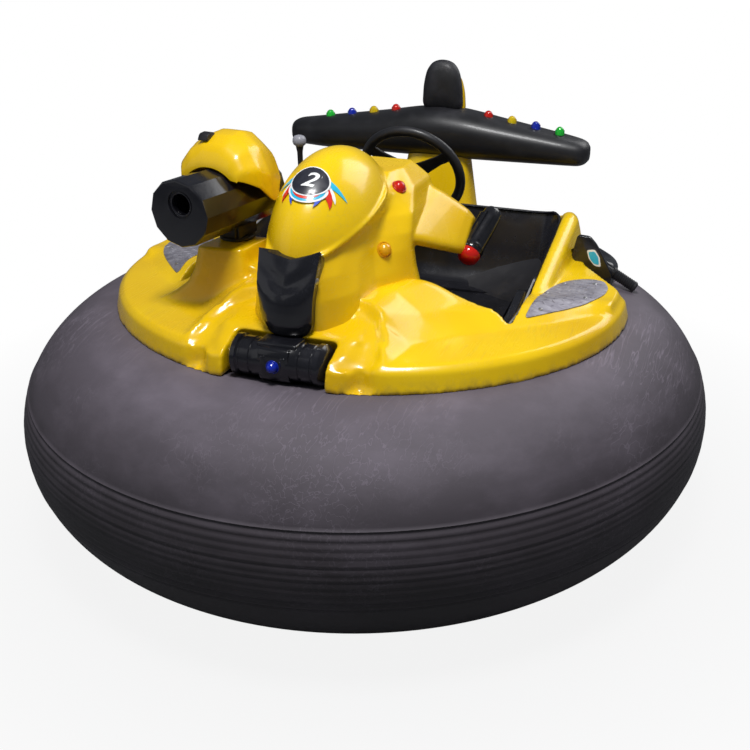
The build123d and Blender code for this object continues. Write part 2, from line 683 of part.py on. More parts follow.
def steering_wheel():
    """Round rim, three spokes and the hub."""
    wheel = Torus(WHEEL_RADIUS, WHEEL_GRIP_RADIUS)
    wheel += Cylinder(WHEEL_HUB_RADIUS, WHEEL_HUB_LENGTH)
    for angle in SPOKE_ANGLES:
        spoke = at(WHEEL_RADIUS / 2, 0, 0) * Box(WHEEL_RADIUS, SPOKE_WIDTH, SPOKE_THICKNESS)
        wheel += Rot(0, 0, angle) * spoke
    wheel -= at(0, 0, -WHEEL_HUB_LENGTH / 2) * Cylinder(SHAFT_RADIUS + PIN_CLEARANCE, WHEEL_HUB_LENGTH)
    return wheel_frame() * wheel


def steering_column():
    """Column tube from the dash with the shaft that the wheel turns on."""
    top = -WHEEL_HUB_LENGTH / 2 - RUNNING_GAP
    tube = at(0, 0, top - COLUMN_LENGTH / 2) * Cylinder(COLUMN_RADIUS, COLUMN_LENGTH)
    shaft = at(0, 0, top + SHAFT_STUB / 2) * Cylinder(SHAFT_RADIUS, SHAFT_STUB)
    return wheel_frame() * (tube + shaft)


# ---- Seat --------------------------------------------------------------------------
def above_edge(rise):
    """Cutter above the sloping edge of seat and surround."""
    front, rear = COCKPIT_FRONT - SLOPE_REACH, SEAT_REAR + SLOPE_REACH
    low = SEAT_REAR_TOP + rise + SEAT_EDGE_SLOPE * (front - SEAT_REAR)
    high = SEAT_REAR_TOP + rise + SEAT_EDGE_SLOPE * (rear - SEAT_REAR)
    side = Polyline((front, low), (rear, high), (rear, 2 * high), (front, 2 * high), close=True)
    return extrude(Plane.YZ * make_face(side), BODY_HALF_WIDTH, both=True)


def seat_form(inset):
    """Bucket, round where it stands in the tub and straight-sided above it, drawn in by a wall."""
    floor = SEAT_BOTTOM + (SEAT_PAN if inset else 0)
    sides = loft([round_plan(floor, SEAT_BASE_RADIUS - inset), bucket_plan(SEAT_LIP_Z, -inset)], ruled=True)
    return sides + extrude(bucket_plan(SEAT_LIP_Z, -inset), SEAT_REAR_TOP - SEAT_LIP_Z + SEAT_CORNER)


def liner():
    """Front part of the seat's moulding: a band that lines the edge of the cockpit."""
    band = cockpit_plan(OPENING_GAP) - cockpit_plan(OPENING_GAP + SEAT_WALL)
    band = extrude(Plane.XY.offset(LINER_BOTTOM) * band, DECK_TOP - LINER_BOTTOM)
    band &= block((-REACH, REACH), (-REACH, SEAT_FRONT + SEAT_WALL), (LINER_BOTTOM, DECK_TOP))
    legs = COCKPIT_EDGE[1][0]
    return band - block((-legs, legs), (-REACH, 0), (0, REACH))


def seat():
    """Black moulded seat: pan, back, wrap-round sides and the liner of the cockpit's edge."""
    shell = seat_form(0) - seat_form(SEAT_WALL)
    shell &= block((-REACH, REACH), (SEAT_FRONT, REACH), (0, REACH))
    return (shell + liner()) - above_edge(0)


def surround_form():
    """Bolster round the seat as a solid that also fills the seat's place."""
    foot = bucket_plan(DECK_TOP, SURROUND_FOOT)
    return loft([foot, bucket_plan(SURROUND_CREST_Z, SURROUND_CREST)], ruled=True)


def seat_surround():
    """Yellow bolster that rises round the seat to the rear."""
    ring = surround_form() - extrude(bucket_plan(DECK_TOP, 0), SURROUND_CREST_Z - DECK_TOP)
    ring &= block((-REACH, REACH), (SURROUND_FRONT, REACH), (DECK_TOP, REACH))
    return ring - above_edge(SURROUND_RISE)


# ---- Column, wing, headrest --------------------------------------------------------
def wing():
    """Arched wing across the rear."""
    sections = []
    for side in (-1, 1):
        rows = WING_SECTIONS[::-1] if side < 0 else WING_SECTIONS[1:]
        for x, low, high, chord in rows:
            plan = Ellipse(chord / 2, (high - low) / 2)
            sections.append(Plane(origin=(side * x, WING_Y, (low + high) / 2), x_dir=(0, 1, 0),
                                  z_dir=(1, 0, 0)) * plan)
    return loft(sections)


def rear_column():
    """Yellow column from the surround up to the wing."""
    low = RectangleRounded(*REAR_COLUMN_BOTTOM, REAR_COLUMN_CORNERS[0])
    high = RectangleRounded(*REAR_COLUMN_TOP, REAR_COLUMN_CORNERS[1])
    foot = Plane.XY.offset(DECK_TOP) * (Pos(0, REAR_COLUMN_Y) * low)
    top = Plane.XY.offset(WING_SECTIONS[0][1] + REAR_COLUMN_SINK)
    head = top * (Pos(0, WING_Y - REAR_COLUMN_AHEAD) * high)
    return loft([foot, head], ruled=True)


def wing_crest(x):
    """Height of the wing's crest at one distance from the middle."""
    for (x0, _, z0, _), (x1, _, z1, _) in zip(WING_SECTIONS, WING_SECTIONS[1:]):
        if x0 <= x <= x1:
            return z0 + (z1 - z0) * (x - x0) / (x1 - x0)
    return WING_SECTIONS[-1][2]


def wing_lamps(index):
    """The pair of dome lamps of one colour."""
    x = WING_LAMP_FIRST + index * WING_LAMP_PITCH
    foot = wing_crest(x) - WING_LAMP_SINK
    lens = at(x, WING_Y - WING_LAMP_AHEAD, foot) * dome(WING_LAMP_RADIUS, LAMP_COLLAR)
    return [lens, mirrored(lens)]


def headrest():
    """Arched pad on the middle of the wing."""
    left = [(-x, z) for x, z in HEADREST_ARCH[::-1]]
    face = make_face(Polyline(*HEADREST_ARCH, *left, close=True))
    pad = extrude(Plane.XZ * face, HEADREST_DEPTH / 2, both=True)
    return at(0, WING_Y - HEADREST_AHEAD, HEADREST_BASE) * pad


# ---- Rear cover, footplates, stick -------------------------------------------------
def apron_form(inset):
    """Apron as a solid, drawn in by its wall."""
    plans = [bucket_plan(z - inset, width - inset) for width, z in APRON_PROFILE]
    return loft(plans, ruled=True)


def rear_cover():
    """Black apron that falls from the seat surround to the tube at the rear."""
    shell = apron_form(0) - apron_form(APRON_WALL) - surround_form()
    return shell & block((-REACH, REACH), (APRON_FRONT, REACH), (SKIRT_BOTTOM, REACH))


def rear_handle():
    """Stout grip that sticks out of the apron over the tube."""
    start, end = Vector(*HANDLE_ROOT), Vector(*HANDLE_END)
    run = end - start
    grip = Plane(origin=start + run / 2, z_dir=run) * Cylinder(HANDLE_RADIUS, run.length)
    return grip + Pos(*end) * Sphere(HANDLE_RADIUS)


def footplate():
    """Leaf-shaped aluminium step on the deck."""
    face = fillet(make_face(Polyline(*FOOTPLATE_OUTLINE, close=True)).vertices(), FOOTPLATE_FILLET)
    return extrude(Plane.XY.offset(DECK_TOP) * face, FOOTPLATE_THICKNESS)


def surround_top(y):
    """Height of the surround's sloping top."""
    return SEAT_REAR_TOP + SURROUND_RISE + SEAT_EDGE_SLOPE * (y - SEAT_REAR)


def control_stick():
    """Upright grip on the surround at the driver's right hand."""
    foot = surround_top(STICK_Y)
    boot = upright(BOOT_RADIUS, foot - BOOT_HEIGHT / 2, foot + BOOT_HEIGHT / 2, STICK_X, STICK_Y)
    stem = upright(STICK_RADIUS, foot, STICK_TOP - GRIP_LENGTH, STICK_X, STICK_Y)
    grip = upright(GRIP_RADIUS, STICK_TOP - GRIP_LENGTH, STICK_TOP, STICK_X, STICK_Y)
    return boot + stem + grip


def body_lamps(x, y, z, outward):
    """Dome lamps on the two flanks of the cowl."""
    lens = at(x, y, z) * Rot(0, outward, 0) * dome(DOME_LAMP_RADIUS, LAMP_COLLAR)
    return [lens, mirrored(lens)]


# ---- Assembly ----------------------------------------------------------------------
parts["bumper_tube"] = bumper_tube()
parts["tube_valve"] = tube_valve() - parts["bumper_tube"]
parts["chassis_frame"] = chassis_frame()
parts["floor_tub"] = floor_tub()
parts["battery_block"] = battery_block()
parts["pedal"] = pedal()
parts["drive_fork"] = drive_fork()
parts["drive_motor"] = drive_motor()
parts["drive_tyre"] = tyre(DRIVE_RADIUS, DRIVE_RIM_RADIUS, DRIVE_WIDTH, 0, DRIVE_Y)
parts["drive_rim"] = rim(DRIVE_RADIUS, DRIVE_RIM_RADIUS, DRIVE_AXLE_RADIUS, DRIVE_WIDTH, 0, DRIVE_Y)
for name, side in (("left", 1), ("right", -1)):
    parts["rear_tyre_" + name] = tyre(REAR_RADIUS, REAR_RIM_RADIUS, REAR_WIDTH, side * REAR_X, REAR_Y)
    parts["rear_rim_" + name] = rim(REAR_RADIUS, REAR_RIM_RADIUS, REAR_AXLE_RADIUS, REAR_WIDTH,
                                    side * REAR_X, REAR_Y)

parts["body_shell"] = body_shell()
left_lens = pod_lens()
left_arm = arm() - cowl_form(0) - nose_form(0) - left_lens
left_pod = pod() - left_arm
parts["cowl"] = cowl()
parts["arm_left"], parts["arm_right"] = left_arm, mirrored(left_arm)
parts["pod_left"], parts["pod_right"] = left_pod, mirrored(left_pod)
parts["pod_lenses"] = [left_lens, mirrored(left_lens)]
parts["lamp_bar"] = lamp_bar() - blue_lamp()
parts["blue_lamp"] = blue_lamp()
parts["grille_plate"] = grille_plate()
parts["cannon_pedestal"] = cannon_pedestal() - cowl_form(0)
parts["cannon_bracket"] = cannon_bracket()
parts["cannon_barrel"] = cannon_barrel()
parts["cannon_hood"] = cannon_hood()
parts["steering_wheel"] = steering_wheel()
parts["steering_column"] = steering_column()
parts["cowl"] -= parts["steering_column"]
parts["seat"] = seat()
parts["seat_surround"] = seat_surround() - rear_column() - control_stick()
parts["headrest"] = headrest()
wing_body = wing() - headrest()
for index, colour in enumerate(WING_LAMP_COLOURS):
    lamps = wing_lamps(index)
    for lamp in lamps:
        wing_body -= lamp
    parts["wing_lamps_" + colour] = lamps
parts["rear_wing"] = wing_body
parts["rear_column"] = rear_column() - wing()
parts["rear_cover"] = rear_cover() - rear_column()
parts["rear_handles"] = [rear_handle(), mirrored(rear_handle())]
for grip in parts["rear_handles"]:
    parts["rear_cover"] -= grip
left_step = footplate() - seat_surround()
parts["footplate_left"], parts["footplate_right"] = left_step, mirrored(left_step)
parts["control_stick"] = control_stick()
parts["body_lamps_red"] = body_lamps(*RED_LAMP)
parts["body_lamps_amber"] = body_lamps(*AMBER_LAMP)
for lamp in parts["body_lamps_red"] + parts["body_lamps_amber"]:
    parts["cowl"] -= lamp

os.makedirs("parts", exist_ok=True)
for name, shape in parts.items():
    solids = []
    for piece in (shape if isinstance(shape, list) else [shape]):
        solids += piece.solids()
    export_step(Compound(children=solids), f"parts/{name}.step")
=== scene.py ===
"""Looks of the inflatable-ring bumper car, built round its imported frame.

Metres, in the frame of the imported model: the front is -Y, the car's left side +X, +Z up, the
origin on the floor under the middle of the tube. Each sub-assembly is a class whose fields hold
its sizes; it builds its meshes with Blender's operators, dresses them and reports them.
"""

import json
import logging
from contextlib import contextmanager
from dataclasses import dataclass, field
from enum import Enum
from math import atan, atan2, copysign, cos, exp, hypot, inf, pi, radians, sin, sqrt, tau
from typing import Callable, Iterator, Sequence

import bmesh
import bpy
from mathutils import Matrix, Vector

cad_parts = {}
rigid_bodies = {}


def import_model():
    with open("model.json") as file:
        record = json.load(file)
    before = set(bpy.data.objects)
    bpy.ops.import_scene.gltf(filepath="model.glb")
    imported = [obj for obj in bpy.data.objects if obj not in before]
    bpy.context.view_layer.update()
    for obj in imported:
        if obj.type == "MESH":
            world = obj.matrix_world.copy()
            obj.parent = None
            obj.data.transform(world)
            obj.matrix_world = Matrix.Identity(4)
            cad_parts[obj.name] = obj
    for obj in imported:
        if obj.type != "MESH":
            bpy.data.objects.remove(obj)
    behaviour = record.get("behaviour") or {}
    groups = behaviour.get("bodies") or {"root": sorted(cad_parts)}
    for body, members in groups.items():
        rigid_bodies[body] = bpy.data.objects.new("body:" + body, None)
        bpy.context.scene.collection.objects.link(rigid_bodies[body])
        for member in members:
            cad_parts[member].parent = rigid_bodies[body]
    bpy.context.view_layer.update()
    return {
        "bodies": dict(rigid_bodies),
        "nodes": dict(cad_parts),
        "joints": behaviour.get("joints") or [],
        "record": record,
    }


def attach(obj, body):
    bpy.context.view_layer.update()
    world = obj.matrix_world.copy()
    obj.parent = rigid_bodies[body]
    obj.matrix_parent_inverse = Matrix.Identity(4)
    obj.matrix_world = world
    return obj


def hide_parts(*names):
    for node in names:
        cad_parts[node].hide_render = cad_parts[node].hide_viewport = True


LOG = logging.getLogger("bumper_car")

SIDES = {1: "left", -1: "right"}
Point = Sequence[float]
Rows = Sequence[Point]
Outline = list[tuple[float, float]]


# ---- Small sums ----
def clamp(value: float, low: float = 0.0, high: float = 1.0) -> float:
    """The value, held between two limits."""
    return max(low, min(high, value))


def ease(value: float) -> float:
    """A smooth step from 0 to 1."""
    t = clamp(value)
    return t * t * (3 - 2 * t)


def along(rows: Rows, key: float) -> list[float]:
    """Reads a table by its first column, in straight steps.

    Args:
        rows: table rows, the first column rising.
        key: where to read it.
    Returns:
        The other columns at that place.
    """
    if key <= rows[0][0]:
        return list(rows[0][1:])
    for low, high in zip(rows, rows[1:]):
        if key <= high[0]:
            t = (key - low[0]) / (high[0] - low[0])
            return [a + t * (b - a) for a, b in zip(low[1:], high[1:])]
    return list(rows[-1][1:])


def oval(width: float, height: float, count: int, power: float = 2.0) -> Outline:
    """Points of a superellipse round the origin.

    Args:
        width: half width.
        height: half height.
        count: number of points.
        power: 2 is an ellipse, more is squarer.
    Returns:
        The points, from the +width end towards +height.
    """
    points = []
    for step in range(count):
        turn = tau * step / count
        c, s = cos(turn), sin(turn)
        points.append((copysign(abs(c) ** (2 / power), c) * width,
                       copysign(abs(s) ** (2 / power), s) * height))
    return points


def rounded(corners: Rows, radius: float, steps: int = 5) -> Outline:
    """A closed outline with its corners rounded by short curves.

    Args:
        corners: corner points in order.
        radius: how far from the corner each curve starts, at most.
        steps: pieces in each curve.
    Returns:
        The rounded outline.
    """
    out = []
    count = len(corners)
    for index, corner in enumerate(corners):
        here = Vector(corner[:2])
        back = Vector(corners[index - 1][:2]) - here
        ahead = Vector(corners[(index + 1) % count][:2]) - here
        reach = min(radius, back.length * 0.49, ahead.length * 0.49)
        start, end = here + back.normalized() * reach, here + ahead.normalized() * reach
        for step in range(steps + 1):
            t = step / steps
            spot = start * (1 - t) ** 2 + here * (2 * t * (1 - t)) + end * t * t
            out.append((spot.x, spot.y))
    return out


def resampled(outline: Rows, count: int, closed: bool = True) -> list[Vector]:
    """An outline divided into equal steps.

    Args:
        outline: points of the outline.
        count: number of points wanted.
        closed: whether it returns to its first point.
    Returns:
        The new points, the first at the outline's first point.
    """
    points = [Vector(p) for p in outline]
    if closed:
        points.append(points[0].copy())
    lengths = [(b - a).length for a, b in zip(points, points[1:])]
    total = sum(lengths)
    out, index, walked = [], 0, 0.0
    for step in range(count):
        goal = total * step / (count if closed else count - 1)
        while index < len(lengths) - 1 and walked + lengths[index] < goal - 1e-12:
            walked += lengths[index]
            index += 1
        t = (goal - walked) / lengths[index] if lengths[index] else 0.0
        out.append(points[index].lerp(points[index + 1], t))
    return out


def at(spot: Point) -> Matrix:
    """A shift to a spot."""
    return Matrix.Translation(spot)


def spun(degrees: float, axis: str) -> Matrix:
    """A turn about one axis."""
    return Matrix.Rotation(radians(degrees), 4, axis)


def both_sides(half: Rows) -> Outline:
    """A full outline from its +X half, listed from the front round to the rear."""
    return [tuple(p) for p in half] + [(-p[0], p[1]) for p in reversed(half)]


# ---- Modelling with operators ----
def deselect() -> None:
    """Leaves object mode and clears the selection."""
    if bpy.context.object and bpy.context.object.mode != "OBJECT":
        bpy.ops.object.mode_set(mode="OBJECT")
    bpy.ops.object.select_all(action="DESELECT")


def pick_all() -> None:
    """Selects everything, in edit mode."""
    bpy.ops.mesh.select_all(action="SELECT")


class Axis(Enum):
    """Directions that a flat outline can be raised along."""

    X = "x"
    Y = "y"
    Z = "z"


class Piece:
    """One mesh object that is modelled with Blender's operators."""

    def __init__(self, thing: bpy.types.Object) -> None:
        """Wraps a mesh object."""
        self.thing = thing

    # -- starting shapes ----------------------------------------------------
    @classmethod
    def _taken(cls, name: str) -> "Piece":
        """Names the object that an operator has just added.

        Args:
            name: name of the new piece.
        Returns:
            The new piece.
        """
        thing = bpy.context.active_object
        thing.name = name
        thing.data.name = name
        return cls(thing).settled()

    @classmethod
    def block(cls, name: str, low: Point, high: Point) -> "Piece":
        """A box between two corners.

        Args:
            name: name of the new piece.
            low: one corner.
            high: the other corner.
        Returns:
            The new piece.
        """
        size = [b - a for a, b in zip(low, high)]
        middle = [(a + b) / 2 for a, b in zip(low, high)]
        deselect()
        bpy.ops.mesh.primitive_cube_add(size=1.0, location=middle, scale=size)
        return cls._taken(name)

    @classmethod
    def rod(cls, name: str, radius: float, start: Point, end: Point, sides: int) -> "Piece":
        """A round bar between two points.

        Args:
            name: name of the new piece.
            radius: its radius.
            start: first end.
            end: other end.
            sides: number of sides.
        Returns:
            The new piece.
        """
        start, end = Vector(start), Vector(end)
        run = end - start
        turn = run.to_track_quat("Z", "Y").to_euler()
        deselect()
        bpy.ops.mesh.primitive_cone_add(
            vertices=sides, radius1=radius, radius2=radius, depth=run.length,
            location=(start + end) / 2, rotation=turn)
        return cls._taken(name)

    @classmethod
    def ball(cls, name: str, centre: Point, radii: Point, segments: int = 48, rings: int = 24) -> "Piece":
        """An ellipsoid along the axes.

        Args:
            name: name of the new piece.
            centre: its centre.
            radii: its half sizes.
            segments: steps round it.
            rings: steps from pole to pole.
        Returns:
            The new piece.
        """
        deselect()
        bpy.ops.mesh.primitive_uv_sphere_add(segments=segments, ring_count=rings, radius=1.0,
                                             location=centre, scale=radii)
        return cls._taken(name)

    @classmethod
    def stacked(cls, name: str, rings: Sequence[Rows], closed: bool = True) -> "Piece":
        """A skin over a row of rings with equally many points.

        A grid is laid over the rings, its seam is merged and its open ends are filled.

        Args:
            name: name of the new piece.
            rings: the rings, each a list of points.
            closed: whether each ring closes on itself.
        Returns:
            The new piece, its faces outwards.
        """
        rows = [list(ring) for ring in rings]
        width = len(rows[0]) + (1 if closed else 0)
        deselect()
        bpy.ops.mesh.primitive_grid_add(x_subdivisions=width - 1, y_subdivisions=len(rows) - 1)
        piece = cls._taken(name)
        flat = []
        for row in rows:
            for index in range(width):
                flat.extend(row[index % len(row)])
        mesh = piece.thing.data
        if len(mesh.vertices) * 3 != len(flat):
            raise ValueError(f"{name}: the grid has {len(mesh.vertices)} points, not {len(flat) // 3}")
        mesh.vertices.foreach_set("co", flat)
        mesh.update()
        return piece.cleaned(fill=closed)

    @classmethod
    def turned(cls, name: str, profile: Rows, steps: int, place: Matrix | None = None,
               shut: bool = False) -> "Piece":
        """A lathe-turned piece: a profile spun round Z and then put in place.

        Args:
            name: name of the new piece.
            profile: (radius, height) points.
            steps: steps of the full turn.
            place: where the turned piece goes.
            shut: whether the profile closes on itself.
        Returns:
            The new piece, its faces outwards.
        """
        deselect()
        bpy.ops.mesh.primitive_circle_add(vertices=len(profile), radius=1.0)
        piece = cls._taken(name)
        for vertex, (radius, height) in zip(piece.thing.data.vertices, profile):
            vertex.co = (radius, 0.0, height)
        with piece.editing():
            if not shut:
                piece.choose_edge(0, len(profile) - 1)
                bpy.ops.mesh.delete(type="EDGE_FACE")
            pick_all()
            bpy.ops.mesh.spin(steps=steps, angle=tau, center=(0, 0, 0), axis=(0, 0, 1))
        piece.cleaned()
        return piece.placed(place) if place else piece

    @classmethod
    def slab(cls, name: str, outline: Rows, low: float, high: float, axis: Axis = Axis.Z) -> "Piece":
        """A flat outline raised into a slab.

        Args:
            name: name of the new piece.
            outline: the outline's points, in X-Y, in Y-Z for X or in X-Z for Y.
            low: where the slab starts along the axis.
            high: where it ends.
            axis: the direction it is raised along.
        Returns:
            The new piece.
        """
        def spot(p: Point, level: float) -> Vector:
            """The point in space of a point of the outline.

            Args:
                p: a point of the outline.
                level: the place along the axis.
            Returns:
                The point in space.
            """
            if axis is Axis.Z:
                return Vector((p[0], p[1], level))
            if axis is Axis.Y:
                return Vector((p[0], level, p[1]))
            return Vector((level, p[0], p[1]))

        deselect()
        bpy.ops.mesh.primitive_circle_add(vertices=len(outline), radius=1.0, fill_type="NGON")
        piece = cls._taken(name)
        for vertex, p in zip(piece.thing.data.vertices, outline):
            vertex.co = spot(p, low)
        rise = spot((0, 0), high) - spot((0, 0), low)
        with piece.editing():
            pick_all()
            bpy.ops.mesh.extrude_region_move(TRANSFORM_OT_translate={"value": rise})
            pick_all()
            bpy.ops.mesh.normals_make_consistent(inside=False)
        return piece

    @classmethod
    def lettering(cls, name: str, text: str, size: float, lean: float) -> "Piece":
        """Plain flat figures as a mesh on the X-Y plane, centred on the origin.

        Args:
            name: name of the new piece.
            text: the figures.
            size: height of a line.
            lean: slant of the figures.
        Returns:
            The new piece.
        """
        deselect()
        bpy.ops.object.text_add()
        words = bpy.context.active_object
        words.data.body = text
        words.data.size = size
        words.data.shear = lean
        words.data.offset = size * 0.018
        words.data.align_x = "CENTER"
        words.data.align_y = "CENTER"
        bpy.ops.object.convert(target="MESH")
        return cls._taken(name)

    @classmethod
    def copied(cls, name: str, source: bpy.types.Object) -> "Piece":
        """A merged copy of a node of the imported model, free to be reshaped.

        Args:
            name: name of the new piece.
            source: the node.
        Returns:
            The new piece.
        """
        thing = source.copy()
        thing.data = source.data.copy()
        thing.name = name
        thing.data.name = name
        thing.parent = None
        for key in list(thing.keys()):
            del thing[key]
        thing.data.materials.clear()
        bpy.context.scene.collection.objects.link(thing)
        return cls(thing).cleaned(outward=False)

    # -- choosing and shaping ------------------------------------------------
    def alone(self) -> "Piece":
        """Makes this piece the only one that is selected and active.

        Returns:
            The same piece.
        """
        deselect()
        self.thing.select_set(True)
        bpy.context.view_layer.objects.active = self.thing
        return self

    def cleaned(self, reach: float = 1e-6, fill: bool = False, outward: bool = True) -> "Piece":
        """Merges doubled points and mends the faces.

        Args:
            reach: how near to each other points are merged.
            fill: whether open ends are filled.
            outward: whether the faces are made to point outwards.
        Returns:
            The same piece.
        """
        with self.editing():
            pick_all()
            bpy.ops.mesh.remove_doubles(threshold=reach)
            if fill:
                pick_all()
                bpy.ops.mesh.fill_holes(sides=0)
            if outward:
                pick_all()
                bpy.ops.mesh.normals_make_consistent(inside=False)
        return self

    @contextmanager
    def editing(self) -> Iterator[None]:
        """Edit mode on this piece alone."""
        self.alone()
        bpy.ops.object.mode_set(mode="EDIT")
        try:
            yield
        finally:
            bpy.ops.object.mode_set(mode="OBJECT")

    def choose_edge(self, first: int, second: int) -> None:
        """Selects the one edge between two vertices, in edit mode.

        Args:
            first: index of one end.
            second: index of the other.
        """
        bpy.ops.mesh.select_mode(type="EDGE")
        bpy.ops.mesh.select_all(action="DESELECT")
        shape = bmesh.from_edit_mesh(self.thing.data)
        for edge in shape.edges:
            if {v.index for v in edge.verts} == {first, second}:
                edge.select = True
        bmesh.update_edit_mesh(self.thing.data)

    def choose_faces(self, test: Callable[[Vector, Vector], bool]) -> int:
        """Selects faces by their middle and normal, in edit mode.

        Args:
            test: called with a face's middle and its normal.
        Returns:
            How many faces are selected.
        """
        bpy.ops.mesh.select_mode(type="FACE")
        bpy.ops.mesh.select_all(action="DESELECT")
        shape = bmesh.from_edit_mesh(self.thing.data)
        found = 0
        for face in shape.faces:
            if test(face.calc_center_median(), face.normal):
                face.select_set(True)
                found += 1
        bmesh.update_edit_mesh(self.thing.data)
        return found

    def settled(self) -> "Piece":
        """Applies the object's place, turn and scale to its mesh.

        Returns:
            The same piece.
        """
        self.alone()
        bpy.ops.object.transform_apply(location=True, rotation=True, scale=True)
        return self

    def placed(self, place: Matrix) -> "Piece":
        """Moves the mesh by a matrix and mends its normals if that mirrors it.

        Args:
            place: the matrix.
        Returns:
            The same piece.
        """
        self.thing.data.transform(place)
        if place.determinant() < 0:
            self.thing.data.flip_normals()
        self.thing.data.update()
        return self

    def shaped(self, rule: Callable[[Vector], Vector]) -> "Piece":
        """Moves every vertex to where a rule puts it.

        Args:
            rule: called with each place, gives the new one.
        Returns:
            The same piece.
        """
        for vertex in self.thing.data.vertices:
            vertex.co = rule(vertex.co.copy())
        self.thing.data.update()
        return self

    def modified(self, kind: str, **settings: object) -> "Piece":
        """Adds a modifier, sets it and applies it.

        Args:
            kind: Blender's name of the modifier.
            settings: values of the modifier's own fields.
        Returns:
            The same piece.
        """
        self.alone()
        modifier = self.thing.modifiers.new(kind.lower(), kind)
        for key, value in settings.items():
            setattr(modifier, key, value)
        bpy.ops.object.modifier_apply(modifier=modifier.name)
        return self

    def bevelled(self, width: float, segments: int = 3, angle: float = 30.0) -> "Piece":
        """Rounds the edges that are sharper than an angle."""
        return self.modified("BEVEL", width=width, segments=segments, limit_method="ANGLE",
                             angle_limit=radians(angle), harden_normals=False)

    def remeshed(self, voxel: float) -> "Piece":
        """Rebuilds the mesh as one even skin."""
        return self.modified("REMESH", mode="VOXEL", voxel_size=voxel)

    def softened(self, factor: float, rounds: int) -> "Piece":
        """Relaxes the skin, which rounds its edges."""
        return self.modified("SMOOTH", factor=factor, iterations=rounds)

    def cut(self, other: "Piece") -> "Piece":
        """Takes another piece away from this one and deletes it."""
        return self._combined(other, "DIFFERENCE")

    def fused(self, other: "Piece") -> "Piece":
        """Adds another piece to this one as one solid."""
        return self._combined(other, "UNION")

    def _combined(self, other: "Piece", operation: str) -> "Piece":
        """Runs one boolean with another piece, which is then deleted.

        Args:
            other: the other piece.
            operation: the modifier's operation.
        Returns:
            The same piece.
        """
        self.modified("BOOLEAN", object=other.thing, operation=operation, solver="EXACT")
        other.drop()
        return self

    def joined(self, *others: "Piece") -> "Piece":
        """Puts other pieces into the same object, as loose parts of it.

        Args:
            others: the other pieces.
        Returns:
            The same piece.
        """
        self.alone()
        for other in others:
            other.thing.select_set(True)
        bpy.ops.object.join()
        return self

    def drop(self) -> None:
        """Deletes the piece."""
        mesh = self.thing.data
        bpy.data.objects.remove(self.thing)
        bpy.data.meshes.remove(mesh)

    def smooth(self, angle: float = 35.0) -> "Piece":
        """Shades the piece smooth, with edges sharper than an angle kept.

        Args:
            angle: the angle in degrees.
        Returns:
            The same piece.
        """
        self.alone()
        bpy.ops.object.shade_smooth_by_angle(angle=radians(angle))
        return self


# ---- Shader wiring ----
def operator(operation: str, reflected: bool = False) -> Callable[["Wire", "Wire | float"], "Wire"]:
    """Makes the method behind one arithmetic sign.

    Args:
        operation: the Math node's operation.
        reflected: whether the wire stands on the sign's right.
    Returns:
        The method.
    """
    def combined(self: "Wire", other: "Wire | float") -> "Wire":
        """Adds the Math node."""
        return self.math(operation, *((other, self) if reflected else (self, other)))

    return combined


class Wire:
    """A node's output that Python arithmetic can use: each operator adds a Math node."""

    def __init__(self, tree: bpy.types.NodeTree, socket: bpy.types.NodeSocket) -> None:
        """Wraps an output socket."""
        self.tree = tree
        self.socket = socket

    def math(self, operation: str, *values: "Wire | float") -> "Wire":
        """Adds one Math node and feeds it.

        Args:
            operation: the node's operation.
            values: wires or numbers.
        Returns:
            The node's output.
        """
        node = self.tree.nodes.new("ShaderNodeMath")
        node.operation = operation
        for socket, value in zip(node.inputs, values):
            feed(self.tree, socket, value)
        return Wire(self.tree, node.outputs[0])

    __add__ = __radd__ = operator("ADD")
    __sub__ = operator("SUBTRACT")
    __rsub__ = operator("SUBTRACT", True)
    __mul__ = __rmul__ = operator("MULTIPLY")

    def span(self, low: float, high: float) -> "Wire":
        """Maps the range from low to high onto 0 to 1, and clamps it.

        Args:
            low: where 0 is reached.
            high: where 1 is reached.
        Returns:
            The clamped share.
        """
        node = self.tree.nodes.new("ShaderNodeMapRange")
        feed(self.tree, node.inputs["Value"], self)
        node.inputs["From Min"].default_value = low
        node.inputs["From Max"].default_value = high
        return Wire(self.tree, node.outputs["Result"])


def feed(tree: bpy.types.NodeTree, socket: bpy.types.NodeSocket, value: object) -> None:
    """Links a wire to a socket, or sets the socket to a plain value.

    Args:
        tree: the node tree.
        socket: the input.
        value: a wire, a number or a colour.
    """
    if isinstance(value, Wire):
        tree.links.new(value.socket, socket)
    elif hasattr(socket.default_value, "__len__") and len(socket.default_value) == 4 and len(value) == 3:
        socket.default_value = (*value, 1.0)
    else:
        socket.default_value = value


def tint(code: str) -> tuple[float, float, float]:
    """A linear colour from a hexadecimal one.

    Args:
        code: six hexadecimal digits.
    Returns:
        Red, green and blue.
    """
    out = []
    for start in (0, 2, 4):
        level = int(code[start:start + 2], 16) / 255
        out.append(level / 12.92 if level <= 0.04045 else ((level + 0.055) / 1.055) ** 2.4)
    return tuple(out)


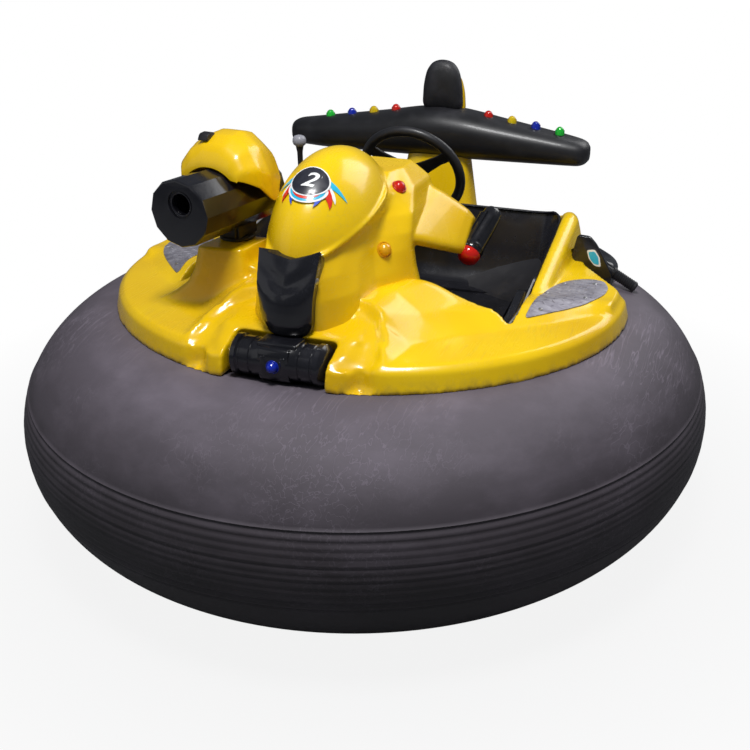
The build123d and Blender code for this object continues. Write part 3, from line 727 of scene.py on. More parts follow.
class Recipe:
    """The node tree of one material, round its Principled shader."""

    def __init__(self, name: str) -> None:
        """Starts an empty recipe.

        Args:
            name: name of the material.
        """
        self.material = bpy.data.materials.new(name)
        self.material.use_nodes = True
        self.tree = self.material.node_tree
        self.shader = next(n for n in self.tree.nodes if n.type == "BSDF_PRINCIPLED")
        self.spot = self.node("ShaderNodeTexCoord", output="Object")

    def node(self, kind: str, settings: dict | None = None, sockets: dict | None = None,
             output: str | int = 0) -> Wire:
        """Adds a node.

        Args:
            kind: Blender's node type.
            settings: the node's own fields; "stops" are a ramp's (place, colour) pairs.
            sockets: values or wires by socket name.
            output: the output wanted.
        Returns:
            That output.
        """
        node = self.tree.nodes.new(kind)
        for key, value in (settings or {}).items():
            if key == "stops":
                ramp = node.color_ramp.elements
                while len(ramp) < len(value):
                    ramp.new(0.5)
                for stop, (place, colour) in zip(ramp, value):
                    stop.position = place
                    stop.color = (*colour, 1.0)
            else:
                setattr(node, key, value)
        for key, value in (sockets or {}).items():
            socket = next(s for s in node.inputs if s.name == key and s.enabled)
            feed(self.tree, socket, value)
        if isinstance(output, int):
            return Wire(self.tree, node.outputs[output])
        return Wire(self.tree, next(s for s in node.outputs if s.name == output and s.enabled))

    def noise(self, scale: float, detail: float = 4.0, rough: float = 0.5, stretch: Point = (1, 1, 1),
              offset: Point = (0, 0, 0)) -> Wire:
        """Noise on the piece, stretched and shifted.

        Args:
            scale: how fine it is.
            detail: how many octaves it has.
            rough: how strong the fine ones are.
            stretch: scale along each axis.
            offset: shift along each axis.
        Returns:
            The noise, about 0 to 1.
        """
        where = self.node("ShaderNodeMapping", {},
                          {"Vector": self.spot, "Scale": stretch, "Location": offset})
        return self.node("ShaderNodeTexNoise", {}, {"Vector": where, "Scale": scale, "Detail": detail,
                                                    "Roughness": rough}, "Fac")

    def mixed(self, share: Wire | float, first: object, second: object) -> Wire:
        """Blends two colours."""
        return self.node("ShaderNodeMix", {"data_type": "RGBA"},
                         {"Factor": share, "A": first, "B": second}, "Result")

    def bumped(self, height: Wire, distance: float, strength: float = 1.0) -> None:
        """Feeds a height to the shader's normal.

        Args:
            height: the height.
            distance: its reach in metres.
            strength: its share.
        """
        bump = self.node("ShaderNodeBump", {}, {"Height": height, "Strength": strength,
                                                "Distance": distance})
        self.tree.links.new(bump.socket, self.shader.inputs["Normal"])

    def upward(self) -> Wire:
        """How far a surface faces up, from -1 to 1."""
        normal = self.node("ShaderNodeNewGeometry", output="Normal")
        return self.node("ShaderNodeSeparateXYZ", {}, {"Vector": normal}, "Z")

    def place(self, axis: str) -> Wire:
        """One coordinate of the piece."""
        return self.node("ShaderNodeSeparateXYZ", {}, {"Vector": self.spot}, axis)

    def scratches(self, scale: float, seed: float, turn: float = 0.0) -> Wire:
        """Sparse fine scratches: 1 on a scratch, 0 beside it.

        Args:
            scale: how fine they are.
            seed: which ones.
            turn: their direction.
        Returns:
            The mask.
        """
        where = self.node("ShaderNodeMapping", {},
                          {"Vector": self.spot, "Scale": (scale, scale * 0.06, scale),
                           "Location": (seed, seed, 0), "Rotation": (0.3, 0.2, turn)})
        lines = self.node("ShaderNodeTexNoise", {}, {"Vector": where, "Scale": 1.0, "Detail": 2.0}, "Fac")
        patches = self.noise(3.0, 2.0, offset=(seed, 0, 0)).span(0.5, 0.65)
        return ((lines - 0.5) * (lines - 0.5)).span(0.0004, 0.0) * patches

    def set(self, **values: object) -> None:
        """Sets or links the shader's sockets, named with _ for a space."""
        for key, value in values.items():
            feed(self.tree, self.shader.inputs[key.replace("_", " ")], value)


# ---- Finishes ----
@dataclass(frozen=True)
class Finish:
    """A finish: its name, its two main colours and the way that it is wired."""

    name: str
    colour: str
    worn: str

    def wire(self, recipe: Recipe) -> None:
        """Wires the shader; each kind of finish has its own way."""
        raise NotImplementedError(self.name)

    def material(self) -> bpy.types.Material:
        """The wired material.

        Returns:
            The material.
        """
        recipe = Recipe(self.name)
        self.wire(recipe)
        return recipe.material


@dataclass(frozen=True)
class TubeRubber(Finish):
    """Dusty, scuffed rubber of the inflated tube, with painted shade towards its bottom and a painted
    lighter top.
    """

    # colour of the dust, also used for the painted lighter top of the tube
    dust: str = "746b76"
    # painted shade: the colour that the tube darkens to towards its bottom
    painted_shade_colour: str = "0c0a0a"

    def wire(self, recipe: Recipe) -> None:
        """Wires the rubber, with its dust, painted shade at the bottom and painted light on top.

        Args:
            recipe: its node tree.
        """
        cloud = recipe.noise(1.7, 6.0, 0.6)
        fine = recipe.noise(60.0, 3.0)
        base = recipe.mixed(cloud.span(0.3, 0.7), tint(self.colour), tint(self.worn))
        # painted light: 0 at the tube's bottom, 1 near its top, used for painted shade lower down
        painted_light_by_height = recipe.place("Z").span(0.02, 0.58)
        # painted light: surfaces facing up are lightened, as if lit from above
        top = recipe.upward().span(-0.1, 1.0)
        smudge = recipe.noise(4.5, 7.0, 0.68, (1, 1, 1.8), (3, 1, 0)).span(0.46, 0.72)
        wiped = recipe.noise(2.4, 5.0, 0.6, (1, 1, 5.0), (7, 2, 1)).span(0.5, 0.74)
        marks = recipe.scratches(55.0, 2.0, 0.6) + recipe.scratches(40.0, 9.0, -0.9)
        # dust marks plus a painted lighter top, both made fainter lower down as painted shade
        dust_and_painted_top_light = (top * 0.5 + smudge * 0.22 + wiped * 0.18 + marks * 0.3) * (0.25 + 0.75 * painted_light_by_height)
        dust_and_painted_light_colour = recipe.mixed(dust_and_painted_top_light.span(0.0, 1.0), base, tint(self.dust))
        # painted shade: the colour darkens towards the tube's bottom, where less light falls
        colour = recipe.mixed(painted_light_by_height * 0.65 + 0.35, tint(self.painted_shade_colour), dust_and_painted_light_colour)
        recipe.bumped(fine * 0.2 + recipe.noise(9.0, 5.0) + marks * 0.3, 0.0012, 0.55)
        recipe.set(Base_Color=colour, Roughness=0.5 + 0.2 * cloud + 0.16 * dust_and_painted_top_light, Specular_IOR_Level=0.42)


@dataclass(frozen=True)
class GelCoat(Finish):
    """Glossy coloured gel coat of the moulded body."""

    dirt: str = "7a6a3c"
    skirt: float = 0.594

    def wire(self, recipe: Recipe) -> None:
        """Wires the gel coat, with a little grime along the skirt's edge.

        Args:
            recipe: its node tree.
        """
        cloud = recipe.noise(2.6, 4.0)
        base = recipe.mixed(cloud.span(0.35, 0.65), tint(self.colour), tint(self.worn))
        low = 1 - recipe.place("Z").span(self.skirt - 0.002, self.skirt + 0.035)
        specks = recipe.noise(28.0, 6.0, 0.7).span(0.42, 0.7)
        dull = recipe.noise(7.0, 5.0, 0.65, offset=(4, 4, 0)).span(0.5, 0.8)
        grime = low * specks * 0.75 + dull * 0.05
        scuffs = recipe.scratches(70.0, 5.0, 0.4) + recipe.scratches(60.0, 1.0, -1.1)
        colour = recipe.mixed((grime + scuffs * 0.12).span(0.0, 1.0), base, tint(self.dirt))
        recipe.bumped(recipe.noise(11.0, 2.0) + recipe.noise(140.0, 1.0) * 0.08 - scuffs * 0.2, 0.0006,
                      0.35)
        recipe.set(Base_Color=colour, Roughness=0.24 + 0.12 * dull + 0.3 * grime + 0.1 * scuffs,
                   Specular_IOR_Level=0.42, Coat_Weight=0.34 - 0.2 * grime,
                   Coat_Roughness=0.06)


@dataclass(frozen=True)
class Moulded(Finish):
    """Moulded or painted black and grey parts, from gloss to matt."""

    rough: float
    coat: float = 0.0
    grain: float = 80.0
    relief: float = 0.0003
    metal: float = 0.0

    def wire(self, recipe: Recipe) -> None:
        """Wires the plastic or paint, with faint dust, scuffs and grain.

        Args:
            recipe: its node tree.
        """
        cloud = recipe.noise(5.0, 5.0, 0.6)
        dust = recipe.noise(16.0, 6.0, 0.7, offset=(2, 5, 1)).span(0.5, 0.78)
        scuffs = recipe.scratches(90.0, 3.0, 0.5)
        wear = cloud.span(0.35, 0.75) * 0.35 + dust * 0.25 + scuffs * 0.35
        colour = recipe.mixed(wear.span(0.0, 1.0), tint(self.colour), tint(self.worn))
        recipe.bumped(recipe.noise(self.grain, 3.0) + cloud * 0.4, self.relief, 0.5)
        rough = self.rough + 0.1 * dust + 0.08 * cloud + 0.08 * scuffs
        recipe.set(Base_Color=colour, Roughness=rough, Coat_Weight=self.coat,
                   Coat_Roughness=0.12, Metallic=self.metal)


@dataclass(frozen=True)
class LensGlass(Finish):
    """Clear coloured plastic of a dome lamp, with moulded ribs and painted shade that deepens its colour
    towards the outline.
    """

    def wire(self, recipe: Recipe) -> None:
        """Wires the lens.

        Args:
            recipe: its node tree.
        """
        ribs = recipe.node("ShaderNodeTexVoronoi", {}, {"Vector": recipe.spot, "Scale": 190.0},
                           "Distance")
        # painted shade: by viewing angle, the colour deepens towards the dome's outline, mixed with random
        # tone
        edge = recipe.node("ShaderNodeLayerWeight", {}, {"Blend": 0.35}, "Facing")
        cloud = recipe.noise(35.0, 3.0)
        colour = recipe.mixed((edge * 0.7 + cloud * 0.2).span(0.0, 1.0), tint(self.colour),
                              tint(self.worn))
        recipe.bumped(ribs, 0.0008, 0.5)
        recipe.set(Base_Color=colour, Roughness=0.08 + 0.1 * cloud, Transmission_Weight=0.28,
                   IOR=1.48, Subsurface_Weight=0.12, Subsurface_Radius=(0.01, 0.006, 0.004),
                   Coat_Weight=0.6, Coat_Roughness=0.04)


@dataclass(frozen=True)
class WornSheet(Finish):
    """Worn bare sheet metal, scratched and streaked."""

    rough: float = 0.36
    metal: float = 0.9

    def wire(self, recipe: Recipe) -> None:
        """Wires the sheet.

        Args:
            recipe: its node tree.
        """
        streaks = recipe.noise(26.0, 6.0, 0.72, (1.0, 3.2, 1.0), (1, 2, 0))
        blots = recipe.noise(14.0, 5.0, 0.6)
        marks = recipe.scratches(160.0, 6.0, 0.9) + recipe.scratches(120.0, 2.0, -0.5)
        wear = streaks.span(0.4, 0.66) * 0.7 + marks * 0.4
        colour = recipe.mixed(wear.span(0.0, 1.0), tint(self.worn), tint(self.colour))
        recipe.bumped(streaks * 0.6 + recipe.noise(120.0, 4.0) * 0.4 - marks * 0.4, 0.0012, 0.6)
        recipe.set(Base_Color=colour, Metallic=self.metal - 0.35 * blots,
                   Roughness=self.rough + 0.22 * streaks + 0.12 * blots)


@dataclass(frozen=True)
class Vinyl(Finish):
    """Soft cover of the head pad: fine leather grain."""

    def wire(self, recipe: Recipe) -> None:
        """Wires the cover.

        Args:
            recipe: its node tree.
        """
        pores = recipe.node("ShaderNodeTexVoronoi", {"feature": "DISTANCE_TO_EDGE"},
                            {"Vector": recipe.spot, "Scale": 420.0}, "Distance").span(0.0, 0.12)
        cloud = recipe.noise(18.0, 5.0)
        colour = recipe.mixed((cloud.span(0.45, 0.75) * 0.4).span(0.0, 1.0), tint(self.colour),
                              tint(self.worn))
        recipe.bumped(pores * 0.5 + cloud, 0.0007, 0.5)
        recipe.set(Base_Color=colour, Roughness=0.44 + 0.18 * cloud, Coat_Weight=0.12, Coat_Roughness=0.3)


@dataclass(frozen=True)
class Printed(Finish):
    """Flat printed film, slightly faded."""

    def wire(self, recipe: Recipe) -> None:
        """Wires the film.

        Args:
            recipe: its node tree.
        """
        cloud = recipe.noise(55.0, 5.0, 0.6)
        colour = recipe.mixed(cloud.span(0.45, 0.75) * 0.5, tint(self.colour), tint(self.worn))
        recipe.bumped(recipe.noise(90.0, 2.0), 0.0002, 0.3)
        recipe.set(Base_Color=colour, Roughness=0.26 + 0.12 * cloud, Coat_Weight=0.4, Coat_Roughness=0.1)


class Finishes:
    """Every finish of the car, wired once and found by name."""

    def __init__(self) -> None:
        """Wires them all."""
        wanted = (
            TubeRubber("tube_rubber", "1d1a1c", "332d31"), GelCoat("body_yellow", "f0c80a", "e0b206"),
            Vinyl("pad_cover", "17171b", "3a3a42"),
            Moulded("valve_brass", "b8893a", "7a5a2a", 0.3, metal=0.9),
            Moulded("frame_paint", "1d1d20", "4a4744", 0.42, 0.1),
            Moulded("tub_grey", "1c1c20", "3c3a3c", 0.4, 0.15),
            Moulded("battery_case", "24262a", "48484a", 0.5),
            Moulded("pedal_black", "18181a", "3a3836", 0.6, grain=160.0, relief=0.0006),
            Moulded("motor_black", "202126", "4c4a48", 0.4, 0.1),
            Moulded("tyre_black", "1b1b1c", "4a4744", 0.72, grain=120.0, relief=0.0008),
            Moulded("rim_grey", "8c8c90", "5c5a58", 0.5),
            Moulded("gloss_black", "101014", "2c2c34", 0.16, 0.5),
            Moulded("satin_black", "141417", "34343a", 0.4, 0.1),
            Moulded("seat_black", "131317", "33333b", 0.2, 0.35),
            Moulded("knob_grey", "9a9aa2", "6c6c74", 0.32, 0.2),
            Moulded("zinc", "b9b9bc", "84827e", 0.34, metal=0.9),
            WornSheet("step_aluminium", "c9c7cf", "8f8b96"),
            LensGlass("lens_red", "ea2418", "8c0a06"),
            LensGlass("lens_amber", "ffc21a", "e08a00"),
            LensGlass("lens_yellow", "f4d713", "b07a04"),
            LensGlass("lens_blue", "1733c4", "060c4a"),
            LensGlass("lens_green", "2cd944", "0c7a22"),
            Printed("film_slate", "23242e", "3c3d48"), Printed("film_white", "f2f2f2", "d5d5d5"),
            Printed("film_cyan", "16b4dc", "5ccbe6"), Printed("film_blue", "2a52c8", "5474d0"),
            Printed("film_red", "dd2413", "ea5a3c"),
        )
        self.materials = {}
        for finish in wanted:
            made = finish.material()
            self.materials[made.name.split(".")[0]] = made

    def __getitem__(self, name: str) -> bpy.types.Material:
        """The finish of that name."""
        return self.materials[name]


@dataclass
class Assembly:
    """A group of pieces that is built and dressed together."""

    finishes: Finishes

    def dress(self, piece: Piece, finish: str, nodes: Sequence[str] = (), angle: float = 35.0,
              slot: str = "", body: str = "car") -> Piece:
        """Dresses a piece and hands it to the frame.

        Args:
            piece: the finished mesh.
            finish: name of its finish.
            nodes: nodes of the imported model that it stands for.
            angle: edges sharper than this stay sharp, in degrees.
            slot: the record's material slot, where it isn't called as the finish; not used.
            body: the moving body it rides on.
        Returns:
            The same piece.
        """
        thing = piece.smooth(angle).thing
        thing.data.materials.clear()
        thing.data.materials.append(self.finishes[finish])
        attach(thing, body)
        if nodes:
            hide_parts(*nodes)
        LOG.info("%s: %d faces on %s", thing.name, len(thing.data.polygons), body)
        return piece


# ---- Yellow moulding ----
def nearest(path: Rows, spot: Vector, closed: bool = False) -> tuple[float, list[float], float]:
    """Where a plan position lies against a path.

    Args:
        path: points (x, y, further columns).
        spot: the plan position.
        closed: whether the path returns to its first point.
    Returns:
        The distance, the further columns there, and on which side it lies (+1 left, -1 right).
    """
    best = (inf, [], 1.0)
    points = list(path) + ([path[0]] if closed else [])
    for a, b in zip(points, points[1:]):
        start, run = Vector(a[:2]), Vector(b[:2]) - Vector(a[:2])
        t = clamp((spot - start).dot(run) / run.length_squared)
        away = spot - start - run * t
        if away.length < best[0]:
            extra = [p + t * (q - p) for p, q in zip(a[2:], b[2:])]
            best = (away.length, extra, 1.0 if run.cross(away) > 0 else -1.0)
    return best


@dataclass
class Deck:
    """The deck: skirt, ledge, the rise to the cowl and the channels that frame the nose's bib."""

    half_width: float = 0.735
    half_length: float = 0.665
    rear: Rows = ((0.735, 0.04), (0.59, 0.255), (0.585, 0.49), (0.47, 0.612))
    bottom: float = 0.594
    edge: float = 0.643
    ledge: float = 0.656
    top: float = 0.672
    draft: float = 0.01
    shoulder: float = 0.013
    crease: Rows = ((0.235, -0.535), (0.3, -0.442), (0.36, -0.37), (0.452, -0.31),
                    (0.573, -0.219), (0.66, -0.13))
    crease_rise: float = 0.42
    crease_cap: float = 0.03
    flare_height: float = 0.058
    flare_reach: float = 0.085
    channel: Rows = ((0.207, -0.7, 0.59), (0.212, -0.6, 0.648), (0.205, -0.54, 0.68),
                     (0.178, -0.495, 0.702), (0.13, -0.468, 0.722), (0.085, -0.455, 0.738))
    channel_half: float = 0.017
    ridge: Rows = ((0.236, -0.64, 0.655), (0.236, -0.56, 0.682), (0.218, -0.5, 0.708),
                   (0.182, -0.462, 0.73), (0.125, -0.436, 0.752))
    bib: Rows = ((-0.68, 0.652), (-0.61, 0.662), (-0.54, 0.694), (-0.45, 0.712))
    rear_start: float = -0.16
    rear_run: float = 0.14
    flare_end: float = -0.26
    flare_run: float = 0.1
    bib_end: float = -0.44
    bib_half: float = 0.25
    ridge_end: float = -0.4
    ridge_half: float = 0.34
    ridge_slope: float = 0.75
    channel_reach: float = 0.08
    channel_slopes: Point = (1.5, 0.55)
    channel_sink: float = 0.004
    dent_depth: float = 0.028
    dent_reach: float = 0.022
    foot: float = 0.006
    lip: float = 0.001
    lip_rise: float = 0.02
    around: int = 288
    inward: int = 74

    def outline(self, inset: float) -> list[Vector]:
        """The plan of the deck's edge, drawn in by an inset.

        Args:
            inset: how far in, at most half_length.
        Returns:
            Its points.
        """
        front = []
        for step in range(33):
            turn = pi / 2 * step / 32
            front.append((self.half_width * sin(turn), -self.half_length * cos(turn)))
        full = both_sides(front + list(self.rear))
        points = resampled(rounded(full, 0.05, 3), self.around)
        share = 1 - inset / self.half_length
        return [p * share for p in points]

    def height(self, x: float, y: float, cowl: Rows) -> float:
        """Height of the moulded deck over a plan position.

        Args:
            x: place across.
            y: place along.
            cowl: the cowl's plan at its foot.
        Returns:
            The height.
        """
        x = abs(x)
        spot = Vector((x, y))
        away, _, side = nearest(self.crease, spot)
        inside = away * side
        back = ease((y - self.rear_start) / self.rear_run)
        rise = clamp(inside * self.crease_rise, 0.0, self.crease_cap)
        to_cowl, _, _ = nearest(cowl, spot, True)
        flare = self.flare_height * exp(-(to_cowl / self.flare_reach) ** 2)
        flare *= 1 - ease((y - self.flare_end) / self.flare_run)
        deck = self.ledge + rise * (1 - back) + flare + (self.top - self.ledge) * back
        to_path, floor, hand = nearest(self.channel, spot)
        if hand < 0 or y > self.bib_end:
            to_ridge, top, _ = nearest(self.ridge, spot)
            if y < self.ridge_end and x < self.ridge_half:
                deck = max(deck, top[0] - self.ridge_slope * to_ridge)
        elif x < self.bib_half:
            deck = along(self.bib, y)[0]
        if to_path < self.channel_reach and y < self.bib_end:
            slope = self.channel_slopes[0 if hand < 0 else 1]
            deck = min(deck, floor[0] - self.channel_sink + slope * max(0.0, to_path - self.channel_half))
        return deck

    def solid(self, cowl: Rows) -> Piece:
        """The deck as one closed piece.

        Args:
            cowl: the cowl's plan at its foot.
        Returns:
            The new piece.
        """
        rings = []
        walls = ((0.0, self.bottom), (0.0, self.bottom + self.foot), (self.draft, self.edge))
        for inset, z in walls:
            rings.append([Vector((p.x, p.y, z)) for p in self.outline(inset)])
        start = self.draft + self.shoulder
        for step in range(self.inward):
            share = step / self.inward
            inset = start + (self.half_length - start) * share
            ring = []
            for p in self.outline(inset):
                z = self.height(p.x, p.y, cowl)
                if step == 0:
                    z = min(z, self.ledge) - self.lip
                ring.append(Vector((p.x, p.y, z)))
            rings.append(ring)
        for p, edge, lip in zip(self.outline(0.0), rings[2], rings[3]):
            near, _, _ = nearest(self.channel, Vector((abs(p.x), p.y)))
            dent = self.dent_depth * exp(-(near / self.dent_reach) ** 2)
            for row in rings[1:4]:
                spot = row[rings[2].index(edge)]
                spot.xy = spot.xy * (1 - dent / self.half_length)
            lip.z = min(lip.z, edge.z + self.lip_rise)
        return Piece.stacked("deck", rings)


@dataclass
class Cowl:
    """The cowl round the legs and its egg-shaped nose."""

    rings: Rows = (
        (0.64, -0.545, 0.084, 0.175, -0.47, 0.262, -0.2, -0.175),
        (0.668, -0.546, 0.08, 0.152, -0.462, 0.236, -0.212, -0.18),
        (0.7, -0.548, 0.077, 0.14, -0.45, 0.216, -0.222, -0.185),
        (0.765, -0.548, 0.074, 0.13, -0.44, 0.2, -0.23, -0.185),
        (0.815, -0.545, 0.066, 0.118, -0.405, 0.192, -0.234, -0.18),
        (0.856, -0.522, 0.06, 0.114, -0.352, 0.188, -0.225, -0.06),
        (0.895, -0.424, 0.08, 0.116, -0.305, 0.181, -0.195, 0.04),
        (0.915, -0.36, 0.098, 0.125, -0.275, 0.172, -0.165, 0.045),
        (0.945, -0.265, 0.108, 0.124, -0.24, 0.16, -0.125, 0.045),
        (0.985, -0.15, 0.08, 0.1, -0.12, 0.112, -0.07, 0.03))
    nose_centre: Point = (0.0, -0.2694, 0.8331)
    nose_half: Point = (0.1383, 0.2643, 0.2313)
    nose_tilt: float = 6.4
    ridge_start: Point = (-0.5, 0.8716)
    ridge_slope: float = 0.318
    flange: Rows = ((0.03, -0.506), (0.072, -0.514), (0.097, -0.452), (0.117, -0.395), (0.128, -0.345),
                    (0.134, -0.282), (0.127, -0.222), (0.095, -0.165))
    flange_thick: float = 0.009
    chin: float = 0.858
    chin_back: float = -0.47
    groove: Point = (0.1, 0.48)
    bulge: float = 0.008
    spine: Point = (-0.3, -0.1)
    spine_foot: float = 0.86
    spine_lean: float = 2.2
    around: int = 160
    levels: int = 56

    def outline(self, row: Sequence[float]) -> Outline:
        """The plan of the cowl at one height.

        Args:
            row: a row of rings, without its height.
        Returns:
            Its points.
        """
        front, half, x_crease, y_crease, x_face, y_face, rear = row
        groove = (x_crease + self.groove[0] * (x_face - x_crease),
                  y_crease + self.groove[1] * (y_face - y_crease))
        side = ((half, front + 0.004), (0.5 * (half + x_crease) + self.bulge, 0.5 * (front + y_crease)),
                (x_crease, y_crease), groove, (x_face, y_face),
                (x_face - 0.008, max(rear, y_face + 0.02)))
        return rounded(both_sides(side), 0.014, 4)

    def foot(self) -> Outline:
        """The cowl's plan where it stands on the deck."""
        return self.outline(self.rings[1][1:])

    def body(self) -> Piece:
        """The cowl's walls, skinned over its plans at rising heights.

        Returns:
            The new piece.
        """
        rings = []
        levels = [row[0] for row in self.rings]
        for step in range(self.levels):
            z = levels[0] + (levels[-1] - levels[0]) * step / (self.levels - 1)
            plan = self.outline(along(self.rings, z))
            lean = self.spine[0] + (z - self.spine_foot) * self.spine_lean
            middle = Vector((0.0, clamp(lean, *self.spine)))
            ring = []
            for turn in range(self.around):
                angle = tau * turn / self.around
                ring.append(self._reach(plan, middle, angle, z))
            rings.append(ring)
        return Piece.stacked("cowl", rings)

    @staticmethod
    def _reach(plan: Rows, middle: Vector, angle: float, z: float) -> Vector:
        """Where a ray from the middle meets the plan.

        Args:
            plan: the plan.
            middle: where the ray starts.
            angle: its direction.
            z: its height.
        Returns:
            The point.
        """
        ray = Vector((cos(angle), sin(angle)))
        best = 0.0
        for a, b in zip(plan, list(plan[1:]) + [plan[0]]):
            start, run = Vector(a) - middle, Vector(b) - Vector(a)
            across = ray.cross(run)
            if abs(across) < 1e-12:
                continue
            reach, t = start.cross(run) / across, start.cross(ray) / across
            if reach > 0 and -1e-9 <= t <= 1 + 1e-9:
                best = max(best, reach)
        spot = middle + ray * best
        return Vector((spot.x, spot.y, z))

    def ridge(self, y: float) -> float:
        """Height of the ridge that runs round the foot of the nose."""
        return self.ridge_start[1] + self.ridge_slope * (y - self.ridge_start[0])

    def nose(self) -> Piece:
        """The tall egg of the nose, cut off under the ridge round its foot.

        Returns:
            The new piece.
        """
        tilt = spun(self.nose_tilt, "X")
        place = at(self.nose_centre) @ tilt
        egg = Piece.ball("nose", (0, 0, 0), self.nose_half, 96, 64).placed(place)
        under = Piece.block("under", (-0.3, -0.8, -0.5), (0.3, 0.5, 0.0))
        under.placed(at((0, 0, self.ridge(0.0) - 0.012))
                     @ Matrix.Rotation(atan(self.ridge_slope), 4, "X"))
        egg.cut(under)
        return egg.cut(Piece.block("chin", (-0.2, -0.7, 0.6), (0.2, self.chin_back, self.chin)))

    def rim(self) -> Piece:
        """The fine ridge that runs round the foot of the egg."""
        plate = Piece.slab("flange", rounded(both_sides(self.flange), 0.05, 5), -self.flange_thick, 0.0)
        return plate.shaped(lambda p: Vector((p.x, p.y, p.z + self.ridge(p.y))))


@dataclass
class Arm:
    """The arm that reaches back from the cowl beside the wheel."""

    sections: Sequence[Rows] = (
        (0.06, ((0.02, 0.955), (0.0, 0.972), (-0.26, 0.905), (-0.25, 0.86), (0.02, 0.76), (0.035, 0.88))),
        (0.13, ((0.035, 0.93), (0.0, 0.943), (-0.255, 0.868), (-0.235, 0.835), (0.03, 0.762),
                (0.048, 0.88))),
        (0.19, ((0.05, 0.9), (0.008, 0.911), (-0.212, 0.84), (-0.196, 0.812), (0.045, 0.758),
                (0.062, 0.865))),
        (0.23, ((0.06, 0.872), (0.018, 0.884), (-0.14, 0.808), (-0.122, 0.78), (0.055, 0.752),
                (0.072, 0.845))),
        (0.264, ((0.066, 0.846), (0.032, 0.858), (-0.08, 0.783), (-0.062, 0.754), (0.06, 0.746),
                 (0.08, 0.824))),
        (0.28, ((0.07, 0.824), (0.043, 0.836), (-0.045, 0.773), (-0.03, 0.744), (0.064, 0.742),
                (0.08, 0.806))))

    def solid(self, side: int) -> Piece:
        """The arm of one side, +1 the car's left.

        Args:
            side: 1 for the car's left, -1 for its right.
        Returns:
            The new piece.
        """
        rings = []
        for x, corners in self.sections:
            ring = resampled(rounded(corners, 0.014, 4), 64)
            rings.append([Vector((side * x, p.x, p.y)) for p in ring])
        return Piece.stacked("arm", rings)


@dataclass
class Bolster:
    """The roll round the seat that climbs to the rear."""

    path: Rows = ((0.497, -0.12), (0.5, 0.4), (0.482, 0.472), (0.385, 0.522), (0.0, 0.53))
    rise: Rows = ((-0.12, 0.65), (-0.05, 0.674), (0.39, 0.757), (0.44, 0.754), (0.5, 0.716), (0.53, 0.7))
    section: Rows = ((-0.032, -0.12), (-0.031, -0.004), (-0.023, 0.011), (-0.008, 0.017), (0.008, 0.014),
                     (0.022, 0.0), (0.03, -0.03))
    foot: Point = (0.048, 0.64)
    base: float = 0.62
    samples: int = 2000
    stride: int = 12

    def solid(self) -> Piece:
        """The roll as one closed skin.

        Returns:
            The new piece.
        """
        points = resampled([*self.path, *[(-x, y) for x, y in reversed(self.path[:-1])],
                            (0.0, -1.5)], self.samples)
        points = [p for p in points if p.y >= self.path[0][1] and (abs(p.x) > 0.45 or p.y > 0.3)]
        points = points[::self.stride]
        rings = []
        for index, p in enumerate(points):
            back = points[max(0, index - 2)]
            ahead = points[min(len(points) - 1, index + 2)]
            run = (ahead - back).normalized()
            out = Vector((run.y, -run.x))
            z = along(self.rise, p.y)[0]
            ring = [(*(p + out * reach), z + up if up > -0.1 else self.base) for reach, up in self.section]
            ring.append((*(p + out * self.foot[0]), self.foot[1]))
            ring.append((*(p + out * self.foot[0]), self.base))
            rings.append([Vector(q) for q in ring])
        return Piece.stacked("bolster", rings)


@dataclass
class Pedestal:
    """The post under the cannon, with its web to the cowl."""

    rings: Rows = (
        (0.64, -0.47, -0.412, -0.17, -0.205), (0.66, -0.448, -0.404, -0.18, -0.205),
        (0.68, -0.412, -0.396, -0.188, -0.21), (0.705, -0.382, -0.386, -0.197, -0.214),
        (0.74, -0.362, -0.376, -0.212, -0.212),
        (0.8, -0.354, -0.362, -0.226, -0.2))

    def solid(self) -> Piece:
        """The post as one closed piece.

        Returns:
            The new piece.
        """
        rings = []
        for z, x0, y0, x1, y1 in self.rings:
            plan = rounded(((x0, y0), (x1, y0 + 0.01), (x1 + 0.015, y1), (x0 + 0.02, y1)), 0.022, 4)
            rings.append([Vector((p[0], p[1], z)) for p in plan])
        return Piece.stacked("pedestal", rings)

    def web(self) -> Piece:
        """The low web between the post and the cowl."""
        side = ((-0.25, 0.62), (-0.25, 0.772), (-0.19, 0.752), (-0.11, 0.748), (-0.1, 0.62))
        return Piece.slab("web", side, -0.345, -0.262, Axis.Y)


